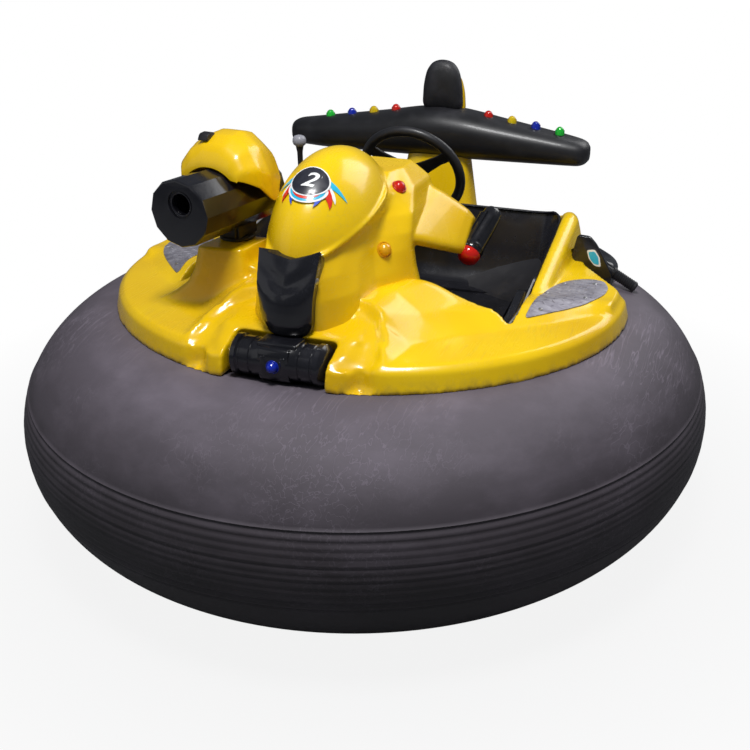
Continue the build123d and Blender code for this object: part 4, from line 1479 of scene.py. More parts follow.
@dataclass
class YellowBody(Assembly):
    """The whole yellow moulding: deck, cowl, nose, arms, bolster, column and pedestal, in two skins."""

    deck: Deck = field(default_factory=Deck)
    cowl: Cowl = field(default_factory=Cowl)
    arm: Arm = field(default_factory=Arm)
    bolster: Bolster = field(default_factory=Bolster)
    pedestal: Pedestal = field(default_factory=Pedestal)
    cockpit: Rows = ((0.15, -0.17), (0.175, -0.226), (0.337, -0.224), (0.438, -0.252), (0.47, -0.285),
                     (0.478, -0.19), (0.474, 0.3), (0.47, 0.42), (0.43, 0.49), (0.35, 0.505))
    recess_half: float = 0.129
    recess_radius: float = 0.057
    recess_centre: Point = (-0.596, 0.635)
    column_low: Sequence[float] = (0.64, 0.15, 0.578, 0.074)
    column_high: Sequence[float] = (0.93, 0.096, 0.62, 0.048)
    deck_voxel: float = 0.006
    cowl_voxel: float = 0.0038

    def column(self) -> Piece:
        """The column that carries the wing.

        Returns:
            The new piece.
        """
        rings = []
        for z, half, middle, deep in (self.column_low, self.column_high):
            plan = oval(half, deep, 32, 4.0)
            rings.append([Vector((x, middle + y, z)) for x, y in plan])
        return Piece.stacked("column", rings)

    def opening(self) -> Piece:
        """The hole in the deck over seat and foot well."""
        full = both_sides(self.cockpit)
        return Piece.slab("opening", rounded(full, 0.03, 4), 0.5, 0.9)

    def deck_piece(self) -> Piece:
        """Deck, bolster, pedestal and column in one skin, with the seat's hole and the bar's recess.

        Returns:
            The dressed skin.
        """
        body = self.deck.solid(self.cowl.foot())
        for part in (self.bolster.solid(), self.pedestal.solid(), self.pedestal.web(), self.column()):
            body.fused(part)
        body.cut(self.opening())
        self.recessed(body).remeshed(self.deck_voxel)
        body.softened(0.5, 3)
        body.thing.name = "yellow_deck"
        return self.dress(body, "body_yellow",
                          ("body_shell", "cannon_pedestal", "seat_surround", "rear_column"), 60.0)

    def cowl_piece(self) -> Piece:
        """Cowl, nose and arms in one finer skin.

        Returns:
            The dressed skin.
        """
        cowl = self.cowl.body()
        for part in (self.cowl.nose(), self.cowl.rim(), self.arm.solid(1), self.arm.solid(-1)):
            cowl.fused(part)
        self.recessed(cowl).remeshed(self.cowl_voxel)
        cowl.softened(0.5, 5)
        cowl.thing.name = "yellow_cowl"
        return self.dress(cowl, "body_yellow", ("cowl", "arm_left", "arm_right"), 60.0)

    def recessed(self, body: Piece) -> Piece:
        """Cuts the recess for the lamp bar.

        Args:
            body: the skin that is cut.
        Returns:
            The same skin.
        """
        y, z = self.recess_centre
        body.cut(Piece.rod("recess", self.recess_radius, (-self.recess_half, y, z),
                           (self.recess_half, y, z), 64))
        return body.cut(Piece.block("mouth", (-self.recess_half, y - 0.09, z - 0.06),
                                    (self.recess_half, y, z + 0.03)))

    def build(self) -> None:
        """Moulds the two skins."""
        self.deck_piece()
        self.cowl_piece()


# ---- Seat, wing and head pad ----
@dataclass
class Bucket(Assembly):
    """The glossy black liner: seat back, wrap-round sides, pan and foot-well edge in one skin."""

    edge: Rows = ((0.15, -0.16), (0.18, -0.219), (0.337, -0.217), (0.436, -0.246), (0.466, -0.28),
                  (0.473, -0.19), (0.469, 0.3), (0.465, 0.42), (0.428, 0.484), (0.35, 0.499))
    rise: Rows = ((-0.29, 0.655), (-0.12, 0.658), (-0.05, 0.672), (0.43, 0.755), (0.47, 0.757),
                  (0.497, 0.744), (0.55, 0.742))
    seat_wall: Rows = ((0.0, 0.0), (-0.01, -0.01), (0.01, -0.06), (0.03, -0.13), (0.052, -0.19),
                       (0.078, -0.232), (0.11, -0.252), (0.15, -0.258))
    well_wall: Rows = ((0.0, 0.0), (0.003, -0.006), (0.006, -0.015), (0.01, -0.022), (0.015, -0.03),
                       (0.022, -0.036), (0.032, -0.038), (0.048, -0.038))
    turn_y: float = 0.015
    turn_run: float = 0.05
    pan_front: float = -0.005
    box_bottom: float = 0.262
    box_half: float = 0.36
    pan_half: float = 0.375
    pan_level: float = 0.45
    lowest: float = 0.492
    dish: float = 0.022
    thickness: float = 0.006
    count: int = 220

    def build(self) -> None:
        """Skins the liner, gives it its wall and fills in the pan."""
        full = resampled(rounded(both_sides(self.edge), 0.07, 6), self.count)
        rows = []
        for level in range(len(self.seat_wall)):
            row = []
            for index, p in enumerate(full):
                ahead, back = full[(index + 1) % self.count], full[index - 1]
                run = (ahead - back).normalized()
                inward = Vector((-run.y, run.x))
                share = ease((p.y - self.turn_y) / self.turn_run)
                seat, well = self.seat_wall[level], self.well_wall[level]
                step = well[0] + share * (seat[0] - well[0])
                drop = well[1] + share * (seat[1] - well[1])
                top = along(self.rise, p.y)[0]
                low = max(top + drop, self.lowest if share > 0.99 else 0.0)
                spot = p + inward * step
                row.append(Vector((spot.x, spot.y, low)))
            rows.append(row)
        liner = Piece.stacked("seat_liner", rows)
        with liner.editing():
            liner.choose_faces(lambda middle, normal: abs(normal.z) > 0.5 and abs(middle.x) < 0.2
                               and abs(middle.y) < 0.3)
            bpy.ops.mesh.delete(type="FACE")
        pan = self._pan()
        liner.joined(pan)
        liner.modified("SOLIDIFY", thickness=self.thickness, offset=-1.0)
        self.dress(liner, "seat_black", ("seat",), 50.0)

    def _pan(self) -> Piece:
        """Pan and front face of the seat, dished for the rider.

        Returns:
            The new piece.
        """
        rows = []
        profile = ((self.pan_front + 0.03, self.box_bottom), (self.pan_front + 0.012, 0.4),
                   (self.pan_front, 0.47), (self.pan_front + 0.012, 0.494), (self.pan_front + 0.05, 0.5),
                   (0.16, 0.493), (0.3, 0.488), (0.36, 0.49), (0.4, 0.5))
        for y, z in profile:
            row = []
            half = self.pan_half if z > self.pan_level else self.box_half
            for step in range(41):
                x = half * (step / 20 - 1)
                lift = self.dish * (abs(x) / half) ** 4 if z > self.pan_level else 0.0
                row.append(Vector((x, y, z + lift)))
            rows.append(row)
        return Piece.stacked("pan", rows, closed=False)


@dataclass
class Wing(Assembly):
    """The arched wing across the rear, blunt at its tips."""

    centre_y: float = 0.64
    sections: Rows = (
        (-0.55, 0.893, 0.934, 0.05), (-0.545, 0.88, 0.95, 0.085), (-0.526, 0.872, 0.96, 0.112),
        (-0.43, 0.868, 0.974, 0.15), (-0.2, 0.868, 1.008, 0.196), (-0.09, 0.868, 1.028, 0.216),
        (0.0, 0.868, 1.037, 0.222), (0.09, 0.868, 1.028, 0.216), (0.2, 0.869, 1.008, 0.196),
        (0.43, 0.872, 0.968, 0.15), (0.478, 0.873, 0.958, 0.132), (0.496, 0.88, 0.95, 0.108),
        (0.506, 0.892, 0.937, 0.056))
    power: float = 2.5
    steps: int = 64

    def build(self) -> None:
        """Skins the wing over its sections."""
        rings = []
        low_x, high_x = self.sections[0][0], self.sections[-1][0]
        for step in range(self.steps + 1):
            share = 0.5 - 0.5 * cos(pi * step / self.steps)
            x = low_x + share * (high_x - low_x)
            low, high, chord = along(self.sections, x)
            ring = [Vector((x, self.centre_y + y, (low + high) / 2 + z))
                    for y, z in oval(chord / 2, (high - low) / 2, 56, self.power)]
            rings.append(ring)
        wing = Piece.stacked("wing", rings)
        wing.softened(0.5, 6)
        self.dress(wing, "satin_black", ("rear_wing",), 60.0, slot="gloss_black")


@dataclass
class HeadPad(Assembly):
    """The arched head pad on the wing, with its yellow back shell."""

    centre_y: float = 0.635
    half: Rows = ((0.0, 0.0), (0.06, 0.0), (0.07, 0.02), (0.066, 0.085), (0.055, 0.13),
                  (0.036, 0.156), (0.0, 0.166))
    base: float = 1.022
    deep: float = 0.031

    def build(self) -> None:
        """Makes the crowned pad and the shell behind it."""
        outline = resampled(rounded([(x, z) for x, z in self.half[1:]]
                                    + [(-x, z) for x, z in self.half[-2:0:-1]], 0.02, 4), 96)
        middle = Vector((0.0, 0.08))
        rows = []
        for share, y in ((0.0, -1.0), (0.3, -0.97), (0.58, -0.88), (0.8, -0.7), (0.92, -0.46),
                         (0.985, -0.18), (1.0, 0.1), (0.985, 0.45), (0.94, 0.7), (0.86, 0.8), (0.0, 0.8)):
            row = []
            for p in outline:
                spot = middle.lerp(p, max(share, 0.02))
                row.append(Vector((spot.x, self.centre_y + y * self.deep, self.base + max(spot.y, 0.0))))
            rows.append(row)
        pad = Piece.stacked("head_pad", rows)
        pad.softened(0.5, 2)
        self.dress(pad, "pad_cover", ("headrest",), 60.0, slot="satin_black")
        shell = Piece.slab("head_shell",
                           [(x * 0.98 + 0.004, z * 0.86 + self.base - 0.012) for x, z in outline],
                           self.centre_y + self.deep * 0.62, self.centre_y + self.deep * 1.25, Axis.Y)
        shell.bevelled(0.004, 2)
        self.dress(shell, "body_yellow")


# ---- Cannon ----
@dataclass
class Cannon(Assembly):
    """Barrel, hood and swivel, turned out by the yaw of the cannon's frame."""

    pivot: Point = (-0.29, -0.255, 0.918)
    yaw: float = -7.0
    radius: float = 0.085
    sides: int = 12
    front: float = -0.222
    back: float = 0.113
    bore: float = 0.026
    bore_lift: float = 0.024
    bore_side: float = 0.008
    hood: Rows = (
        (-0.096, 0.086, 0.064, 0.104), (-0.078, 0.101, 0.055, 0.136), (-0.036, 0.112, 0.034, 0.16),
        (0.01, 0.109, -0.004, 0.167), (0.055, 0.094, -0.022, 0.157), (0.11, 0.074, -0.026, 0.118),
        (0.146, 0.048, -0.01, 0.072))
    fin: Point = (-0.034, -0.052, 0.158)
    flange_radius: float = 0.047
    flange_low: float = -0.1175

    def frame(self) -> Matrix:
        """From the cannon's own frame to the car's."""
        return at(self.pivot) @ spun(self.yaw, "Z")

    def barrel(self) -> None:
        """The faceted barrel with a stepped bore and soft muzzle edge."""
        barrel = Piece.rod("barrel", self.radius, (0, self.front, 0), (0, self.back, 0), self.sides)
        with barrel.editing():
            barrel.choose_faces(lambda middle, normal: normal.y > 0.9)
            bpy.ops.mesh.inset(thickness=0.02, depth=0)
            bpy.ops.transform.translate(value=(0, 0.016, 0))
        barrel.bevelled(0.006, 3)
        for radius, depth in ((0.036, 0.004), (0.03, 0.012), (self.bore, 0.19)):
            cutter = Piece.rod("bore", radius, (self.bore_side, self.front - 0.02, self.bore_lift),
                               (self.bore_side, self.front + depth, self.bore_lift), 48)
            barrel.cut(cutter)
        ring = Piece.turned("bore_ring", [(0.0285 + 0.0025 * cos(a), 0.0025 * sin(a))
                                          for a in [tau * k / 10 for k in range(10)]], 48,
                            at((self.bore_side, self.front + 0.004, self.bore_lift))
                            @ spun(90, "X"), True)
        barrel.joined(ring).placed(self.frame())
        self.dress(barrel, "gloss_black", ("cannon_barrel",), 25.0, body="cannon")

    def seat(self, x: float) -> float:
        """Height of the barrel's top under the hood's front edge."""
        return max(0.058, sqrt(max(0.0, (self.radius + 0.002) ** 2 - x * x)))

    def shroud(self) -> None:
        """The faceted hood with its arched rim, closed at the back."""
        rings = []
        first, last = self.hood[0][0], self.hood[-1][0]
        for step in range(25):
            y = first + (last - first) * step / 24
            half, rim, crest = along(self.hood, y)
            rise = crest - rim
            side = ((half, rim), (half * 0.995, rim + 0.4 * rise), (half * 0.72, rim + 0.8 * rise),
                    (half * 0.3, crest))
            arch = resampled([*side, *[(-x, z) for x, z in side[::-1]]], 40, False)
            rings.append([Vector((p.x, y, p.y)) for p in arch])
        hood = Piece.stacked("hood", rings, closed=False)
        back, front = rings[-1], rings[0]
        cap = Piece.stacked("hood_back",
                            [back,
                             *[[Vector((p.x * share, p.y + rise, 0.03 + (p.z - 0.03) * share))
                                for p in back] for share, rise in ((0.5, 0.006), (0.02, 0.008))]],
                            closed=False)
        lip = Piece.stacked("hood_front",
                            [front,
                             [Vector((p.x * 0.97, p.y - 0.004, min(p.z, self.seat(p.x * 0.97))))
                              for p in front]], closed=False)
        hood.joined(cap, lip).cleaned(1e-4)
        hood.softened(0.5, 2)
        hood.modified("SOLIDIFY", thickness=0.005, offset=-1.0)
        hood.bevelled(0.0015, 2, 50.0)
        hood.placed(self.frame())
        self.dress(hood, "body_yellow", ("cannon_hood",), 50.0, body="cannon")

    def fittings(self) -> None:
        """The swivel under the barrel and the rubber latch on the hood."""
        low = self.flange_low
        disc = [(0.0, low), (self.flange_radius - 0.003, low), (self.flange_radius, low + 0.003),
                (self.flange_radius, low + 0.008), (self.flange_radius - 0.004, low + 0.012),
                (0.034, low + 0.014), (0.03, low + 0.02), (0.0, low + 0.02)]
        swivel = Piece.turned("swivel", disc, 64)
        post = Piece.block("post", (-0.028, -0.048, low + 0.01), (0.028, 0.048, -0.06)).bevelled(0.006, 3)
        cheeks = [Piece.block("cheek", (side * 0.031 - 0.004, -0.04, low + 0.01),
                  (side * 0.031 + 0.004, 0.04, -0.066)).bevelled(0.003, 2) for side in (-1, 1)]
        swivel.joined(post, *cheeks).placed(self.frame())
        self.dress(swivel, "satin_black", ("cannon_bracket",), 40.0, body="cannon")
        x, y, z = self.fin
        latch = Piece.slab("hood_latch",
                           rounded(((y - 0.018, z - 0.012), (y + 0.022, z - 0.006),
                                    (y + 0.016, z + 0.008), (y - 0.008, z + 0.005)), 0.006, 3), x - 0.014,
                           x + 0.014, Axis.X)
        latch.bevelled(0.002, 2).placed(self.frame())
        self.dress(latch, "satin_black", body="cannon")

    def build(self) -> None:
        """Makes the cannon's pieces."""
        self.barrel()
        self.shroud()
        self.fittings()


# ---- Tub, grille and lamp bar ----
@dataclass
class FloorTub(Assembly):
    """The grey tub under the legs, its upper rim kept below the deck's skin."""

    packed: bpy.types.Object
    drop: float = 0.012
    above: float = 0.63

    def build(self) -> None:
        """Copies the tub, sinks its collar and dresses it."""
        tub = Piece.copied("tub", self.packed)
        tub.shaped(lambda p: Vector((p.x, p.y, p.z - self.drop)) if p.z > self.above else p.copy())
        self.dress(tub, "tub_grey", ("floor_tub",), 30.0)


@dataclass
class Tube(Assembly):
    """The inflated ring with its fine moulded bands."""

    ring: float = 0.695
    section: float = 0.282
    centre: float = 0.312
    bands: Rows = ((23.5, 0.003), (19.8, 0.0026), (16.0, 0.0014), (12.5, 0.0012), (8.4, 0.002),
                   (4.6, 0.001), (1.4, 0.0014), (-2.6, 0.0012), (-6.4, 0.0012), (-10.4, 0.0026),
                   (-14.6, 0.003))
    band_width: float = 0.75
    band_share: float = 0.75
    lip_off: float = 0.6
    groove_off: float = 0.9
    groove_deep: float = 1.1
    sharpness: float = 2
    squash: float = 0.02
    squash_power: int = 6
    points: int = 420
    steps: int = 200

    def profile(self) -> Outline:
        """The round section with a groove beside a lip at each band.

        Returns:
            Radius and height of its points.
        """
        spots = []
        for count in range(self.points):
            angle = 360.0 * count / self.points
            turn = angle if angle <= 180 else angle - 360
            reach = self.section
            for band, height in self.bands:
                off = (turn - band) / self.band_width
                lip = exp(-(off - self.lip_off) ** 2 * self.sharpness)
                groove = self.groove_deep * exp(-(off + self.groove_off) ** 2 * self.sharpness)
                reach += height * (lip - groove) * self.band_share
            low = 1.0 - self.squash * max(0.0, -sin(radians(turn))) ** self.squash_power
            spots.append((self.ring + reach * cos(radians(turn)),
                          self.centre + reach * low * sin(radians(turn))))
        return spots

    def build(self) -> None:
        """Turns the ring out of its profile."""
        tube = Piece.turned("tube", self.profile(), self.steps, None, True)
        self.dress(tube, "tube_rubber", ("bumper_tube",), 60.0)


@dataclass
class Grille(Assembly):
    """The black horned plate on the nose's front, scooped over a rounded chin."""

    rows: Rows = (
        (0.676, -0.566, 0.044, -0.02), (0.69, -0.582, 0.056, -0.024), (0.712, -0.588, 0.064, -0.026),
        (0.742, -0.588, 0.066, -0.024), (0.768, -0.585, 0.068, -0.022), (0.786, -0.58, 0.07, -0.018),
        (0.8, -0.57, 0.072, -0.01), (0.822, -0.556, 0.074, -0.008), (0.846, -0.544, 0.076, -0.01),
        (0.86, -0.539, 0.077, -0.01))
    back: float = -0.5
    horn: float = 0.022
    scoop: float = 0.007
    count: int = 24
    screw: Point = (0.0725, -0.545, 0.818)

    def sheet(self) -> Piece:
        """The plate, skinned from its plans at rising heights.

        Returns:
            The new piece.
        """
        rings = []
        for step in range(29):
            z = self.rows[0][0] + (self.rows[-1][0] - self.rows[0][0]) * step / 28
            front, half, fall = along(self.rows, z)
            ring = []
            for place in range(self.count + 1):
                share = 2 * place / self.count - 1
                bow = abs(share) ** 2.6
                rise = ease((z - 0.785) / 0.07)
                top = self.horn * rise * (abs(share) ** 1.3) * (1.15 if share > 0 else 0.85)
                valley = self.scoop * exp(-((z - 0.8 - 0.03 * abs(share)) / 0.016) ** 2) * (1 - bow)
                ring.append(Vector((half * share, front - fall * bow + valley, z + top)))
            ring += [Vector((half * 0.96, self.back, z)), Vector((-half * 0.96, self.back, z))]
            rings.append(ring)
        return Piece.stacked("grille", rings)

    def build(self) -> None:
        """Makes the plate and its two screws."""
        plate = self.sheet().bevelled(0.004, 3, 40.0)
        x, y, z = self.screw
        for side in (-1, 1):
            place = at((side * x, y, z)) @ spun(side * 75, "Z") @ spun(90, "X")
            screw = Piece.turned(
                "grille_screw_" + SIDES[side],
                [(0.0, 0.0), (0.0075, 0.0), (0.0072, 0.002), (0.005, 0.0036), (0.0, 0.004)], 24, place)
            self.dress(screw, "zinc", slot="step_aluminium")
        self.dress(plate, "gloss_black", ("grille_plate",), 40.0)


@dataclass
class LampBar(Assembly):
    """The black bar across the front with its middle housing."""

    centre: Point = (0.0, -0.596, 0.635)
    half: float = 0.121
    profile: Rows = ((0.0, -0.121), (0.03, -0.121), (0.04, -0.119), (0.0495, -0.109), (0.05, -0.098),
                     (0.0465, -0.096), (0.0445, -0.094), (0.0445, -0.09), (0.0465, -0.088),
                     (0.0465, -0.066), (0.044, -0.064), (0.044, -0.06), (0.0465, -0.058), (0.0465, -0.04),
                     (0.048, -0.036))
    housing: Point = (0.038, 0.0485)
    cheek: float = 0.026
    stub: Point = (0.058, 0.022)

    def build(self) -> None:
        """Turns the bar and adds its housing, saddle, stub and end screws."""
        _, y, z = self.centre
        place = at(self.centre) @ spun(90, "Y")
        half = [*self.profile, *[(reach, -level) for reach, level in self.profile[::-1]]]
        bar = Piece.turned("front_bar", half, 72, place)
        width, reach = self.housing
        squared = [(y + reach * c, z + reach * s) for c, s in
                   ((-0.78, -0.86), (0.7, -0.86), (0.86, -0.6), (0.86, 0.6), (0.7, 0.86), (-0.78, 0.86),
                    (-0.96, 0.55), (-0.96, -0.55))]
        housing = Piece.slab("housing", rounded(squared, 0.012, 4), -width, width, Axis.X)
        housing.bevelled(0.004, 3)
        cheeks = []
        for side in (-1, 1):
            low = (min(side * 0.016, side * 0.034), y - reach, z - self.cheek)
            high = (max(side * 0.016, side * 0.034), y - 0.03, z + self.cheek)
            cheeks.append(Piece.block("cheek", low, high).bevelled(0.006, 3))
        wide, tall = self.stub
        stub = Piece.block("stub", (-wide, y, z - tall), (wide, y + 0.055, z + tall)).bevelled(0.004, 2)
        saddle = Piece.block("saddle", (-0.05, y - 0.026, z + 0.034), (0.05, y + 0.03, z + 0.049))
        saddle.bevelled(0.006, 3)
        bar.joined(housing, stub, saddle, *cheeks)
        self.dress(bar, "gloss_black", ("lamp_bar",), 40.0)
        for side in (-1, 1):
            turn = at((side * self.half, y, z)) @ spun(side * 90, "Y")
            cap = Piece.turned(
                "bar_screw_" + SIDES[side],
                [(0.0, -0.004), (0.008, -0.004), (0.008, -0.0012), (0.0, -0.0005)], 6, turn)
            self.dress(cap, "zinc", slot="step_aluminium")


# ---- Coloured lamps ----
@dataclass
class Dome:
    """One domed lens with a collar ring, set on a slanting seat."""

    radius: float
    sink: float = 0.004
    collar: float = 0.0035
    bulge: float = 1.0
    ribs: int = 0
    foot: float = 0.86
    flute: float = 0.05

    def lens(self, name: str, place: Matrix) -> Piece:
        """The domed lens, fluted if it has ribs.

        Args:
            name: name of the new piece.
            place: its seat.
        Returns:
            The new piece.
        """
        foot = self.radius * self.foot
        profile = [(0.0, -self.sink), (foot, -self.sink), (foot, 0.001)]
        profile += [(foot * cos(radians(a)), 0.001 + self.radius * self.bulge * sin(radians(a)))
                    for a in range(6, 90, 7)]
        profile.append((0.0, 0.001 + self.radius * self.bulge))
        lens = Piece.turned(name, profile, 96 if self.ribs else 40)
        if self.ribs:
            lens.shaped(self._fluted)
        return lens.placed(place)

    def _fluted(self, p: Vector) -> Vector:
        """Presses shallow flutes round the lens.

        Args:
            p: a point of the mesh.
        Returns:
            Where it goes.
        """
        turn = atan2(p.y, p.x)
        wave = 0.5 - 0.5 * cos(turn * self.ribs)
        share = 1.0 - self.flute * wave * clamp(hypot(p.x, p.y) / self.radius)
        return Vector((p.x * share, p.y * share, p.z))

    def ring(self, name: str, place: Matrix) -> Piece:
        """The collar ring round the lens's foot.

        Args:
            name: name of the new piece.
            place: its seat.
        Returns:
            The new piece.
        """
        profile = [(self.radius * 0.8, -self.sink), (self.radius, -self.sink),
                   (self.radius, self.collar * 0.5), (self.radius * 0.96, self.collar),
                   (self.radius * 0.88, self.collar)]
        return Piece.turned(name, profile, 40, place, True)


@dataclass
class Lamps(Assembly):
    """Every small domed lamp on the body and the wing."""

    red: Point = (0.138, -0.175, 0.957)
    amber: Point = (0.147, -0.31, 0.83)
    approach: Point = (0.332, -0.911, 0.242)
    blue: Point = (0.0, -0.6425, 0.635)
    wing_first: float = 0.163
    wing_pitch: float = 0.081
    wing_y: float = 0.628
    wing_top: float = 1.018
    wing_fall: float = 0.0118

    def pair(self, name: str, dome: Dome, finish: str, node: str,
             rows: Sequence[tuple[Point, Matrix]]) -> None:
        """Makes a set of like lenses as one piece, with their rings.

        Args:
            name: name of the piece.
            dome: the form of one lens.
            finish: name of its finish.
            node: the node it stands for.
            rows: the lenses' places and turns.
        """
        lenses = [dome.lens(name, at(spot) @ turn) for spot, turn in rows]
        rings = [dome.ring(name, at(spot) @ turn) for spot, turn in rows]
        self.dress(lenses[0].joined(*lenses[1:], *rings), finish, (node,), 50.0)

    def sides(self, skin: bpy.types.Object, spot: Point) -> list[tuple[Point, Matrix]]:
        """A lamp's seat on each side of the cowl, square to its skin.

        Args:
            skin: the cowl's mesh.
            spot: about where the left lamp sits.
        Returns:
            The seats' places and turns.
        """
        seats = []
        for side in (1, -1):
            target = Vector((side * spot[0], spot[1], spot[2]))
            way = Vector((side * self.approach[0], self.approach[1], self.approach[2])).normalized()
            met, place, normal, _ = skin.ray_cast(target + way * 0.3, -way)
            if not met:
                place, normal = target, way
            turn = normal.to_track_quat("Z", "Y").to_matrix().to_4x4()
            seats.append((tuple(place), turn))
        return seats

    def build(self) -> None:
        """Sets all the lamps."""
        skin = bpy.data.objects["yellow_cowl"]
        self.pair("dome_red", Dome(0.0205, 0.008, 0.004, 0.8), "lens_red", "body_lamps_red",
                  self.sides(skin, self.red))
        self.pair("dome_amber", Dome(0.0205, 0.008, 0.004, 0.8, 14), "lens_amber", "body_lamps_amber",
                  self.sides(skin, self.amber))
        self.pair("dome_blue", Dome(0.0165, 0.006, 0.003, 1.05), "lens_blue", "blue_lamp",
                  [(self.blue, spun(90, "X"))])
        for index, colour in enumerate(("red", "yellow", "blue", "green")):
            x = self.wing_first + index * self.wing_pitch
            z = self.wing_top - index * self.wing_fall
            self.pair("wing_" + colour, Dome(0.0155, 0.012, 0.003, 0.84), "lens_" + colour,
                      "wing_lamps_" + colour,
                      [((side * x, self.wing_y, z), Matrix.Identity(4)) for side in (1, -1)])


@dataclass
class Pods(Assembly):
    """The tapered side pods with their red domes."""

    centre: Point = (0.305, 0.049, 0.794)
    toe: float = 15.0
    tilt: float = 34.0
    barrel: Rows = ((0.0, -0.0825), (0.014, -0.0825), (0.022, -0.078), (0.0265, -0.068), (0.0285, -0.04),
                    (0.0305, 0.01), (0.0315, 0.052), (0.0325, 0.06), (0.0335, 0.062), (0.0335, 0.067),
                    (0.032, 0.0685), (0.032, 0.0705), (0.0335, 0.072), (0.0335, 0.078), (0.032, 0.08),
                    (0.0, 0.08))
    dome: Rows = (
        (0.0, 0.078), (0.0315, 0.078), (0.033, 0.084), (0.0325, 0.092), (0.03, 0.1), (0.025, 0.107),
        (0.017, 0.112), (0.008, 0.114), (0.0, 0.1145))

    def frame(self, side: int) -> Matrix:
        """Frame of one pod, its z axis pointing out of the lens.

        Args:
            side: 1 for the car's left, -1 for its right.
        Returns:
            The frame.
        """
        x, y, z = self.centre
        return at((side * x, y, z)) @ (spun(-side * self.toe, "Z") @ spun(90 + self.tilt, "X"))

    def build(self) -> None:
        """Makes both pods, then both lenses as one piece."""
        domes = []
        for side, name in SIDES.items():
            place = self.frame(side)
            pod = Piece.turned("side_pod_" + name, self.barrel, 56, place)
            ribs = [Piece.block("rib", (-0.0022, 0.026, -0.05), (0.0022, 0.0335, 0.05)).placed(
                place @ spun(turn, "Z")) for turn in (-38, 0, 38)]
            pod.joined(*ribs)
            self.dress(pod, "gloss_black", ("pod_" + name,), 40.0)
            domes.append(Piece.turned("pod_dome", self.dome, 48, place))
        lens = domes[0].joined(domes[1])
        self.dress(lens, "lens_red", ("pod_lenses",), 50.0)


# ---- Controls ----
@dataclass
class Controls(Assembly):
    """Steering wheel, its column and the side stick."""

    hub: Point = (0.0, 0.33, 0.872)
    tilt: float = 25.0
    radius: float = 0.1555
    grip: float = 0.0155
    stick: Point = (-0.46, 0.483, 0.762)

    def frame(self) -> Matrix:
        """Frame of the wheel: z along the column, towards the driver."""
        return at(self.hub) @ spun(self.tilt - 90, "X")

    def wheel(self) -> None:
        """The rim with its finger swellings, the Y of spokes and the hub."""
        profile = [(self.radius + self.grip * cos(a), self.grip * 0.98 * sin(a))
                   for a in [tau * k / 20 for k in range(20)]]
        rim = Piece.turned("wheel_rim", profile, 120, None, True)

        def gripped(p: Vector) -> Vector:
            """Presses shallow finger hollows under the rim.

            Args:
                p: a point of the mesh.
            Returns:
                Where it goes.
            """
            turn = atan2(p.y, p.x)
            reach = hypot(p.x, p.y)
            share = 1.0 - 0.1 * (0.5 - 0.5 * cos(turn * 28)) * clamp(-p.z / self.grip)
            return Vector((p.x, p.y, p.z * share)) if reach < self.radius else p.copy()

        rim.shaped(gripped)
        spokes = []
        for turn in (90.0, 212.0, 328.0):
            outline = ((0.02, -0.026), (0.06, -0.02), (0.11, -0.015), (0.15, -0.018), (0.154, 0.0),
                       (0.15, 0.018), (0.11, 0.015), (0.06, 0.02), (0.02, 0.026))
            spoke = Piece.slab("spoke", rounded(outline, 0.006, 3), -0.005, 0.004)
            ridge = Piece.slab(
                "ridge", rounded(((0.022, -0.007), (0.148, -0.005), (0.148, 0.005), (0.022, 0.007)),
                                 0.003, 3), 0.003, 0.0075).bevelled(0.0015, 2)
            spoke.bevelled(0.002, 2).joined(ridge)
            spokes.append(spoke.placed(spun(turn, "Z")))
        hub = Piece.turned("hub", [(0.0, -0.016), (0.026, -0.016), (0.03, -0.01), (0.03, 0.006),
                                   (0.026, 0.012), (0.016, 0.0155), (0.0, 0.0165)], 48)
        nut = Piece.turned("nut", [(0.0, 0.014), (0.008, 0.014), (0.008, 0.0168), (0.0, 0.017)], 6)
        rim.joined(hub, nut, *spokes).placed(self.frame())
        self.dress(rim, "satin_black", ("steering_wheel",), 40.0, body="steering_wheel")

    def column(self) -> None:
        """The stepped column under the wheel."""
        profile = [(0.0, -0.354), (0.019, -0.354), (0.019, -0.12), (0.0195, -0.112), (0.0195, -0.06),
                   (0.0185, -0.05), (0.0185, -0.03), (0.0195, -0.026), (0.0195, -0.022), (0.0, -0.022)]
        column = Piece.turned("column", profile, 48, self.frame())
        self.dress(column, "satin_black", ("steering_column",), 40.0)

    def lever(self) -> None:
        """The stick with its rubber boot and pale knob."""
        shaft = [(0.0, 0.0), (0.024, 0.0), (0.022, 0.004), (0.018, 0.008), (0.0205, 0.012),
                 (0.016, 0.018), (0.0175, 0.022), (0.0125, 0.03), (0.0085, 0.04), (0.0095, 0.11),
                 (0.014, 0.134), (0.0, 0.136)]
        place = at(self.stick)
        stick = Piece.turned("stick", shaft, 36, place)
        self.dress(stick, "satin_black", ("control_stick",), 50.0)
        knob = Piece.turned("stick_knob", [(0.0, 0.13), (0.014, 0.131), (0.021, 0.137), (0.0235, 0.146),
                            (0.0225, 0.156), (0.017, 0.164), (0.008, 0.1675), (0.0, 0.168)], 36, place)
        self.dress(knob, "knob_grey", slot="motor_black")

    def build(self) -> None:
        """Makes the controls."""
        self.wheel()
        self.column()
        self.lever()


